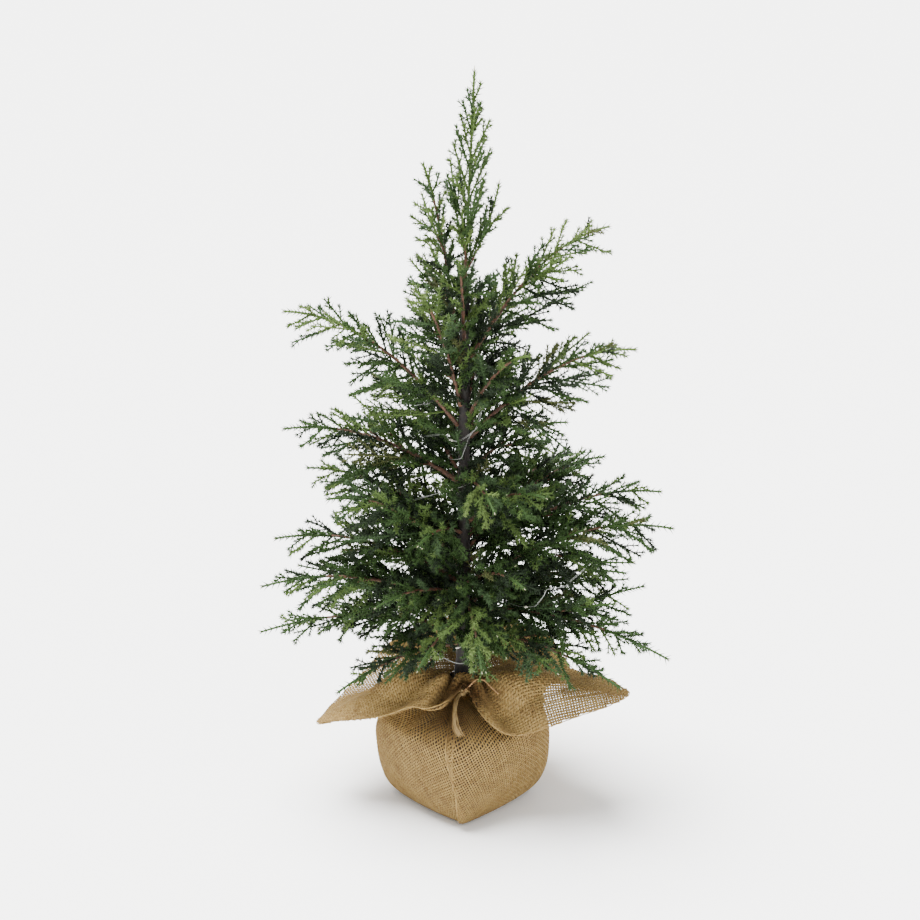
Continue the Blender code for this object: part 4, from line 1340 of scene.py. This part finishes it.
def tone_for(chance, share, height):
    """A spray's tone: lighter towards the tips and the top of the tree."""
    outer = min(1.0, 0.85 * share)
    weights = (1 - outer) * np.array(INNER_TONES) + outer * np.array(OUTER_TONES)
    high = min(1.0, max(0.0, height - 0.34) / 0.12)
    weights = (1 - high) * weights + high * np.array(TOP_TONES)
    return TONES[chance.choice(len(TONES), p=weights / weights.sum())]


# How much nearer to another bough than to its own a shoot may come: outside, and near the trunk.
SHARED_SPACE = 0.012
INNER_SHARED = 0.030
TERMINAL = 0.023  # at a bough's end only its own needles grow
SIDE_ANGLE = math.radians(35)
SIDE_SHARE = 0.43
HIGH_FROM, HIGH_SPACING = 0.31, 1.2  # above this height shoots stand further apart
SHOOT_TWIST, SHOOT_BEND, SHOOT_SAG = 1.05, (-0.05, 0.22), (0.0, 0.14)
SHOOT_STRAY = 25  # degrees either way from the even turn
UPWARD_SHORTER, UPWARD_CLOSER = 0.22, 0.20  # shoots above a bough: length lost, lean lost
SHORN_BELOW, SHORN_SHARE = 0.175, 0.55
SHOOT_ROOM, SIDE_ROOM = 0.0008, 0.0006
TWIG_TAPER = 0.75
INNER_LEAN = (42, 72)
GREEN_NEEDLE_GAP, GREEN_NEEDLE_LENGTH = 1.15, 1.35  # on the stems themselves
SIDE_NEEDLE_GAP, SIDE_NEEDLE_LENGTH = 0.94, 0.95
TRUNK_SPRAYS_FROM, TRUNK_SPRAY, TRUNK_LEANS = 0.124, 0.060, (35, 65)
SHORTEST_SIDE = 0.0055
SIDE_TRIES = (1.0, 0.65, 0.4)
TONE_CHANGE = 0.12


def add_shoot(foot, heading, turn, lean, full, owner, shared, space, foliage, tone):
    """One spray: a shoot that leans out from its stem, and its side shoots."""
    chance, settings = foliage.chance, foliage.settings
    steps = np.linspace(0, 1, 6)[:, None]
    lift = np.cross(side_of(heading[None])[0], heading)
    outward = rotated(lift, heading, turn)
    twist = chance.uniform(-SHOOT_TWIST, SHOOT_TWIST)
    bend, sag = chance.uniform(*SHOOT_BEND), chance.uniform(*SHOOT_SAG)
    full = full * (1 - UPWARD_SHORTER * outward[2])
    if foot[2] < SHORN_BELOW and outward[2] < 0:
        full = full * (1 + SHORN_SHARE * outward[2])  # shorn beneath, where the cloth stands
    lean = lean * (1 - UPWARD_CLOSER * outward[2])
    for length_share, lean_share in TRIES:
        tilt = lean_share * lean
        ahead = leaning(heading, outward, tilt)
        along = length_share * full * ahead
        curve = bend * length_share * full * (heading - ahead * np.dot(ahead, heading))
        curve = curve - np.array((0.0, 0.0, sag * length_share * full))
        line = foot + steps * along + steps**2 * curve
        if space.holds(owner, line[1:], SHOOT_ROOM, shared):
            across = rotated(unit(np.cross(heading, along)), ahead, twist)
            thick = settings.twig_radius * (0.85 + 0.3 * min(1.0, full / 0.04))
            gap, length = settings.needle_gap, settings.needle_length
            tip = TWIG_TAPER * thick
            foliage.twig(line, thick, tip, tone, gap, length, first=0.07, sides=4)
            grow_side_shoots(line, across, owner, shared, space, foliage, tone)
            return


def grow(bough, owner, space, foliage, longest, start, inner):
    """The shoots of one stem, wound up round it, and more that fill it near the trunk."""
    chance, settings = foliage.chance, foliage.settings
    angle = LEADER_SHOOT_ANGLE if owner == len(ALL_BOUGHS) - 1 else SHOOT_ANGLE
    longest = longest * min(1.0, 0.5 + bough.length / 0.3)
    last = 1 - (BARE_TIP + TERMINAL) / bough.length
    spacing = settings.shoot_gap
    if bough.foot_height > HIGH_FROM:
        spacing *= HIGH_SPACING
    count = max(6, round(bough.length * (last - start) / spacing))
    for i in range(count):
        share = start + (last - start) * (i / (count - 1)) ** (1 / 1.1)
        foot, heading = bough.at(np.asarray(share)), bough.heading(np.asarray(share))
        turn = math.radians(SHOOT_TURN * i + chance.uniform(-SHOOT_STRAY, SHOOT_STRAY))
        lean = math.radians(angle + chance.uniform(-7, 7))
        full = longest * (1 - SHOOT_TAPER * share)
        full = min(full, 0.62 * ((1 - share) * bough.length - BARE_TIP)) * chance.uniform(0.8, 1.2)
        tone = tone_for(chance, share, foot[2])
        if bough.name in BRIGHT_BOUGHS and share > 0.25:
            tone = chance.choice(("fresh", "cool", "fresh", "tip"))
        add_shoot(foot, heading, turn, lean, full, owner, SHARED_SPACE, space, foliage, tone)
    count = round(inner * bough.length / settings.inner_gap)
    for i in range(count):
        share = 0.03 + inner * (i + chance.uniform(0, 1)) / count
        foot, heading = bough.at(np.asarray(share)), bough.heading(np.asarray(share))
        turn = math.radians(SHOOT_TURN * i + 60 + chance.uniform(-30, 30))
        lean = math.radians(chance.uniform(*INNER_LEAN))
        full = 0.80 * longest * (1 - 0.5 * share) * chance.uniform(0.65, 1.1)
        tone = tone_for(chance, 0, 0)
        add_shoot(foot, heading, turn, lean, full, owner, INNER_SHARED, space, foliage, tone)


def green_stem(bough, first, thick, foliage):
    """The outer part of a stem, with needles of its own up to its bare wire end."""
    settings = foliage.settings
    bare = BARE_TIP * (0.5 if bough.name != "leader" else 1.0)
    shares = np.linspace(first, 1 - bare / bough.length, 14)
    tone = "fresh" if bough.foot_height > 0.3 else "cedar"
    gap = GREEN_NEEDLE_GAP * settings.needle_gap
    length = GREEN_NEEDLE_LENGTH * settings.needle_length
    thick = thick * settings.twig_radius
    foliage.twig(bough.at(shares), thick, TWIG_TAPER * thick, tone, gap, length, sides=5)


def grow_on_trunk(space, foliage):
    """Short sprays that stand straight on the trunk, between its boughs."""
    chance = foliage.chance
    heights = np.arange(TRUNK_SPRAYS_FROM, TRUNK_TOP - 0.004, foliage.settings.trunk_gap)
    for i, height in enumerate(heights):
        turn = math.radians(SHOOT_TURN * i + chance.uniform(-SHOOT_STRAY, SHOOT_STRAY))
        out = outward_at(turn)
        foot = np.array((trunk_centre(height), 0.0, height))
        foot += (trunk_radius(height) + 0.0004) * out
        lean = math.radians(chance.uniform(*TRUNK_LEANS))
        full = (TRUNK_SPRAY - TRUNK_SPRAY * (height - 0.12)) * chance.uniform(0.7, 1.1)
        # add_shoot turns round a stem from its lift, so the way out is put as such a turn.
        lift = np.cross(side_of(UPRIGHT[None])[0], UPRIGHT)
        aim = math.atan2(np.dot(np.cross(lift, out), UPRIGHT), np.dot(lift, out))
        tone = tone_for(chance, 0.2 * (height > 0.3), 0)
        add_shoot(foot, UPRIGHT, aim, lean, full, None, 0.0, space, foliage, tone)


def grow_side_shoots(line, across, owner, shared, space, foliage, tone):
    """Side shoots on both edges of a spray, longest near its foot."""
    chance, settings = foliage.chance, foliage.settings
    length = float(np.linalg.norm(line[-1] - line[0]))
    count = int(0.78 * length / settings.side_gap)
    for k in range(count):
        share = 0.14 + 0.78 * (k + chance.uniform(0.2, 0.8)) / count
        place = share * (len(line) - 1)
        i = min(int(place), len(line) - 2)
        root = line[i] + (line[i + 1] - line[i]) * (place - i)
        ahead = unit(line[i + 1] - line[i])
        side = across if k % 2 else -across
        side = rotated(side, ahead, chance.uniform(-0.55, 0.55))
        lean = SIDE_ANGLE + chance.uniform(-0.14, 0.14)
        direction = leaning(ahead, side, lean)
        reach = max(SHORTEST_SIDE, SIDE_SHARE * length * (1 - 0.65 * share))
        reach *= chance.uniform(0.75, 1.2)
        for part in SIDE_TRIES:
            steps = np.linspace(0, 1, 3)[:, None]
            bend = 0.14 * part * reach * (ahead - direction)
            shoot = root + steps * part * reach * direction + steps**2 * bend
            if space.holds(owner, shoot[1:], SIDE_ROOM, shared):
                own_tone = tone
                if tone in ("cedar", "deep") and chance.uniform() < TONE_CHANGE:
                    own_tone = "fresh" if tone == "cedar" else "cedar"
                thick = 0.74 * settings.twig_radius
                gap = SIDE_NEEDLE_GAP * settings.needle_gap
                needle = SIDE_NEEDLE_LENGTH * settings.needle_length
                foliage.twig(shoot, thick, 0.9 * thick, own_tone, gap, needle, first=0.1)
                break


def make_foliage(settings):
    """Every twig and needle of the tree: bundles by kind and tone."""
    chance = np.random.default_rng(SEED + 3)
    foliage = Foliage(settings, chance)
    space = Space(ALL_BOUGHS)
    for owner, bough in enumerate(ALL_BOUGHS[:-1]):
        start = 0.10 if bough.main else 0.05
        longest = SHOOT_LENGTH * (0.7 if bough.name == "top_left" else 1.1)
        grow(bough, owner, space, foliage, longest, start, 0.42)
        green_stem(bough, GREEN_FROM, 1.45, foliage)
    for owner, fork in FORKS:
        grow(fork, owner, space, foliage, 0.75 * SHOOT_LENGTH, 0.10, 0.0)
        green_stem(fork, FORK_GREEN_FROM, 1.15, foliage)
    top = ALL_BOUGHS[-1]
    grow(top, len(ALL_BOUGHS) - 1, space, foliage, LEADER_SHOOT_LENGTH, 0.05, 0.0)
    green_stem(top, 0.0, 1.45, foliage)
    grow_on_trunk(space, foliage)
    return foliage.bundles


# ---- light wire --------------------------------------------------------------------------------
LOW_WIRE = (
    (-0.0170, 0.0150, 0.1230), (-0.0290, -0.0080, 0.1400), (-0.0247, -0.0300, 0.1458),
    (-0.0201, -0.0320, 0.1425), (-0.0123, -0.0340, 0.1383), (-0.0046, -0.0340, 0.1353),
    (0.0024, -0.0320, 0.1350), (0.0054, -0.0360, 0.1435), (0.0047, -0.0360, 0.1486),
    (0.0008, -0.0360, 0.1516), (-0.0085, -0.0340, 0.1494), (-0.0210, -0.0150, 0.1560),
    (-0.0130, 0.0160, 0.1660), (0.0120, 0.0180, 0.1730), (0.0290, -0.0080, 0.1800),
    (0.0450, -0.0350, 0.1860), (0.0558, -0.0450, 0.1901), (0.0586, -0.0480, 0.1934),
    (0.0638, -0.0500, 0.2018), (0.0660, -0.0500, 0.2067), (0.0710, -0.0480, 0.2074),
    (0.0803, -0.0450, 0.2073), (0.0864, -0.0420, 0.2121), (0.0956, -0.0380, 0.2192),
    (0.0983, -0.0330, 0.2225), (0.0960, -0.0120, 0.2290), (0.0700, 0.0200, 0.2360),
    (0.0300, 0.0300, 0.2440), (-0.0100, 0.0260, 0.2530), (-0.0400, 0.0050, 0.2620),
    (-0.0430, -0.0200, 0.2700), (-0.0200, -0.0280, 0.2800), (0.0050, -0.0220, 0.2860),
    (0.0150, -0.0040, 0.2930), (0.0060, 0.0120, 0.2980), (-0.0090, 0.0090, 0.3000),
    (-0.0110, -0.0060, 0.3010), (-0.0021, -0.0130, 0.3036), (0.0006, -0.0140, 0.3098),
    (0.0024, -0.0140, 0.3145), (0.0051, -0.0170, 0.3235), (0.0101, -0.0180, 0.3312),
    (0.0127, -0.0160, 0.3391), (0.0133, -0.0120, 0.3491), (0.0060, 0.0110, 0.3560),
    (-0.0120, 0.0090, 0.3530), (-0.0259, -0.0120, 0.3495), (-0.0305, -0.0160, 0.3500),
    (-0.0352, -0.0180, 0.3498), (-0.0398, -0.0200, 0.3497),
)
HIGH_WIRE = (
    (-0.0330, 0.0060, 0.3150), (-0.0158, -0.0060, 0.3214), (-0.0112, -0.0120, 0.3196),
    (-0.0057, -0.0150, 0.3189), (-0.0003, -0.0170, 0.3213), (0.0062, -0.0185, 0.3268),
    (0.0112, -0.0185, 0.3318), (0.0138, -0.0165, 0.3395), (0.0148, -0.0125, 0.3491),
    (0.0120, 0.0040, 0.3650), (-0.0040, 0.0120, 0.3800), (-0.0120, -0.0020, 0.3950),
    (-0.0020, -0.0110, 0.4080), (0.0090, -0.0070, 0.4310), (0.0095, -0.0070, 0.4437),
    (0.0091, -0.0060, 0.4555), (0.0040, 0.0050, 0.4700), (-0.0030, 0.0020, 0.4800),
)
WIRE_POINT_STEP = 0.001
STRANDS_APART = 0.0004
FIRST_LIGHT, LIGHT_GAP = 0.03, 0.081
LIGHT_LENGTH = 0.0042
# Share of a drop's length, and its radius there.
LIGHT_SHAPE = (
    (0.0, 0.0002), (0.12, 0.0007), (0.35, 0.0010), (0.65, 0.0010), (0.88, 0.0007), (1.0, 0.0002),
)


def make_light_wire(settings):
    """Two runs of doubled wire, and a small clear drop over each light."""
    wires, drops = Bundle(), Bundle()
    for k, route in enumerate((LOW_WIRE, HIGH_WIRE)):
        line, run = resampled(route, WIRE_POINT_STEP)
        for strand in (0, 1):
            away = np.stack([np.sin(90 * run + 2.1 * n + math.pi * strand) for n in range(3)], 1)
            apart = STRANDS_APART * (0.35 + np.sin(31 * run + k) ** 2)[:, None] * away
            wires.tube((line + apart)[::2], settings.wire, sides=4, ident=2.0 * k + strand)
        for at in np.arange(FIRST_LIGHT, run[-1], LIGHT_GAP):
            i = min(int(at / WIRE_POINT_STEP), len(line) - 6)
            along = unit(line[i + 4] - line[i])
            drop = [line[i] + LIGHT_LENGTH * share * along for share, _ in LIGHT_SHAPE]
            drops.tube(drop, [radius for _, radius in LIGHT_SHAPE], sides=8)
    return wires.mesh("light_wire"), drops.mesh("light_drops")


# ---- operators ---------------------------------------------------------------------------------
FLOOR_SIZE = 24
KEY_PLACE, KEY_SOFTNESS = (-0.5, 0.25, 2.8), math.radians(38)
FILL_PLACE, FILL_SIZE = (1.3, -1.9, 1.4), 1.8
LIGHTS_AIM = Vector((0, 0, 0.28))
CAMERA_X = -0.0024
SENSOR_WIDTH, FOCAL_LENGTH = 36.0, 78.12  # millimetres


class CEDAR_OT_ball(bpy.types.Operator):
    """Weave the burlap over the weighted base"""

    bl_idname = "cedar.ball"
    bl_label = "Burlap ball"

    def execute(self, context):
        burlap = context.scene.cedar_burlap
        straws = burlap.straw, burlap.pale, burlap.brown
        # The ball's cloth under the ruffles is darkened with painted shade.
        cloth = jute_material("ball burlap", *straws, BALL_PAINTED_SHADE)
        # Near-black colours for the base under the cloth: painted shade between the threads.
        dark = {"First": burlap.inside, "Second": darker(burlap.brown, 0.22)}
        filling = mottled_material("ball filling painted shade", dark, 0.95, 0.0003, 320.0)
        for piece in make_ball_cloth(burlap):
            finished(piece, cloth, "burlap", "root_ball")
        finished(make_ball_lining(), filling, "burlap", "root_ball")
        return {"FINISHED"}


class CEDAR_OT_flare(bpy.types.Operator):
    """Weave the cloth that stands out above the tie"""

    bl_idname = "cedar.flare"
    bl_label = "Burlap flare"

    def execute(self, context):
        burlap = context.scene.cedar_burlap
        straws = burlap.straw, burlap.pale, burlap.brown
        # The flare's cloth round the tie is darkened with painted shade.
        cloth = jute_material("flare burlap", *straws, FLARE_PAINTED_SHADE)
        for piece in make_flare_cloth(burlap):
            finished(piece, cloth, "burlap", "burlap_flare")
        # Brown darkened for the sheet between the layers: painted shade.
        shade = {"First": darker(burlap.brown, 0.35), "Second": darker(burlap.brown, 0.8)}
        inside = mottled_material("flare fold shade", shade, 0.95, 0.0002, 300.0)
        finished(make_flare_core(), inside, "burlap", "burlap_flare")
        return {"FINISHED"}


class CEDAR_OT_twine(bpy.types.Operator):
    """Tie the neck with jute twine, its knot and its tails"""

    bl_idname = "cedar.twine"
    bl_label = "Twine"

    def execute(self, context):
        burlap = context.scene.cedar_burlap
        tie, thin = make_twine()
        jute = jute_material("jute twine", burlap.twine, burlap.pale, burlap.brown)
        pink = jute_material("thin twine", burlap.pink_twine, burlap.pale, burlap.brown)
        finished(tie, jute, "jute_twine", "twine_tie")
        finished(thin, pink, "jute_twine", "twine_tie")
        return {"FINISHED"}


class CEDAR_OT_trunk(bpy.types.Operator):
    """Wind the trunk with its bark-coloured tape"""

    bl_idname = "cedar.trunk"
    bl_label = "Trunk"

    def execute(self, context):
        wood = context.scene.cedar_wood
        tape = {"First": wood.trunk_tape, "Second": wood.trunk_dark}
        bark = mottled_material("trunk bark", tape, 0.75, 0.0004, 260.0)
        finished(make_trunk(wood), bark, "bark", "trunk")
        return {"FINISHED"}


class CEDAR_OT_boughs(bpy.types.Operator):
    """Lead the taped wires of the boughs out to their bare ends"""

    bl_idname = "cedar.boughs"
    bl_label = "Boughs"

    def execute(self, context):
        wood = context.scene.cedar_wood
        taped, bare = make_bough_wires()
        tape = {"First": wood.wire_tape, "Second": wood.wire_dark}
        wire = mottled_material("bough tape", tape, 0.7, 0.0002, 420.0)
        finished(taped, wire, "bark", *LIMB_NODES)
        end = plain_material("bare wire", wood.wire_end, 0.45)
        finished(bare, end, "bark")
        return {"FINISHED"}


class CEDAR_OT_foliage(bpy.types.Operator):
    """Grow the sprays of needles on every bough"""

    bl_idname = "cedar.foliage"
    bl_label = "Foliage"

    def execute(self, context):
        settings = context.scene.cedar_foliage
        for (kind, tone), bundles in make_foliage(settings).items():
            colour = getattr(settings, tone)
            material = plain_material(f"{tone} {kind}", colour, 0.6, Specular_IOR_Level=0.2)
            for k, bundle in enumerate(bundles):
                name = f"{kind}_{tone}" + (f"_{k + 1}" if k else "")
                piece = bundle.mesh(name, smooth=kind == "twigs")
                finished(piece, material, "cedar_foliage", *FOLIAGE_NODES)
        return {"FINISHED"}


class CEDAR_OT_light_wire(bpy.types.Operator):
    """Lead the thin light wire through the boughs"""

    bl_idname = "cedar.light_wire"
    bl_label = "Light wire"

    def execute(self, context):
        settings = context.scene.cedar_lights
        wires, drops = make_light_wire(settings)
        metal = plain_material("silvery wire", settings.metal, 0.32, Metallic=0.85)
        lens = plain_material("clear drop", settings.lens, 0.12, Transmission_Weight=0.55)
        finished(wires, metal, "bark")
        finished(drops, lens, "bark")
        return {"FINISHED"}


class CEDAR_OT_stage(bpy.types.Operator):
    """Set the pale floor, the soft lights and the camera"""

    bl_idname = "cedar.stage"
    bl_label = "Stage"

    def execute(self, context):
        stage = context.scene.cedar_stage
        deselect_all()
        bpy.ops.mesh.primitive_plane_add(size=FLOOR_SIZE, location=(0, 0, 0))
        floor = context.object
        floor.name = "floor"
        floor.data.materials.append(plain_material("pale floor", stage.floor, 0.9))
        for name, kind, place, strength in (
            ("key", "SUN", KEY_PLACE, stage.key),
            ("fill", "AREA", FILL_PLACE, stage.fill),
        ):
            bpy.ops.object.light_add(type=kind, location=place)
            lamp = context.object
            lamp.name = name
            lamp.data.energy = strength
            if kind == "SUN":
                lamp.data.angle = KEY_SOFTNESS
            else:
                lamp.data.size = FILL_SIZE
            aim = LIGHTS_AIM - Vector(place)
            lamp.rotation_euler = aim.to_track_quat("-Z", "Y").to_euler()
        world = context.scene.world or bpy.data.worlds.new("studio")
        context.scene.world = world
        world.use_nodes = True
        tree, white = world.node_tree, (1, 1, 1, 1)
        sky = tree.nodes["Background"]
        sky.inputs["Color"].default_value = white
        sky.inputs["Strength"].default_value = stage.sky
        # Past the floor's edge the backdrop looks as pale as the floor, and lights nothing.
        seen = node_in(tree, "Background", {}, Color=white, Strength=stage.backdrop)
        ray = node_in(tree, "LightPath", {}).outputs["Is Camera Ray"]
        both = {"Fac": ray, 1: sky.outputs["Background"], 2: seen.outputs["Background"]}
        either = node_in(tree, "MixShader", both)
        tree.links.new(either.outputs["Shader"], tree.nodes["World Output"].inputs["Surface"])
        turn = (math.pi / 2 - stage.pitch, 0, 0)
        place = (CAMERA_X, -stage.distance, stage.height)
        bpy.ops.object.camera_add(location=place, rotation=turn)
        camera = context.object
        camera.data.sensor_width = SENSOR_WIDTH
        camera.data.lens = FOCAL_LENGTH
        context.scene.camera = camera
        return {"FINISHED"}


class CEDAR_PT_panel(bpy.types.Panel):
    """Lists the steps that build the tree"""

    bl_idname = "CEDAR_PT_panel"
    bl_label = "Cedar tree"
    bl_space_type = "VIEW_3D"
    bl_region_type = "UI"
    bl_category = "Cedar"

    def draw(self, context):
        for step in STEPS:
            self.layout.operator(step.bl_idname)
        for name in SETTINGS:
            settings = getattr(context.scene, name)
            box = self.layout.box()
            for label in settings.__annotations__:
                box.prop(settings, label)


STEPS = (
    CEDAR_OT_ball,
    CEDAR_OT_flare,
    CEDAR_OT_twine,
    CEDAR_OT_trunk,
    CEDAR_OT_boughs,
    CEDAR_OT_foliage,
    CEDAR_OT_light_wire,
    CEDAR_OT_stage,
)
SETTINGS = {
    "cedar_burlap": BurlapSettings,
    "cedar_wood": WoodSettings,
    "cedar_foliage": FoliageSettings,
    "cedar_lights": LightWireSettings,
    "cedar_stage": StageSettings,
}


def register():
    for kind in (*SETTINGS.values(), *STEPS, CEDAR_PT_panel):
        bpy.utils.register_class(kind)
    for name, kind in SETTINGS.items():
        setattr(bpy.types.Scene, name, PointerProperty(type=kind))


def unregister():
    for name in SETTINGS:
        delattr(bpy.types.Scene, name)
    for kind in reversed((*SETTINGS.values(), *STEPS, CEDAR_PT_panel)):
        bpy.utils.unregister_class(kind)


def main():
    register()
    bpy.ops.cedar.ball()
    bpy.ops.cedar.flare()
    bpy.ops.cedar.twine()
    bpy.ops.cedar.trunk()
    bpy.ops.cedar.boughs()
    bpy.ops.cedar.foliage()
    bpy.ops.cedar.light_wire()
    bpy.ops.cedar.stage()
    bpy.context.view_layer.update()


if __name__ == "__main__":
    main()
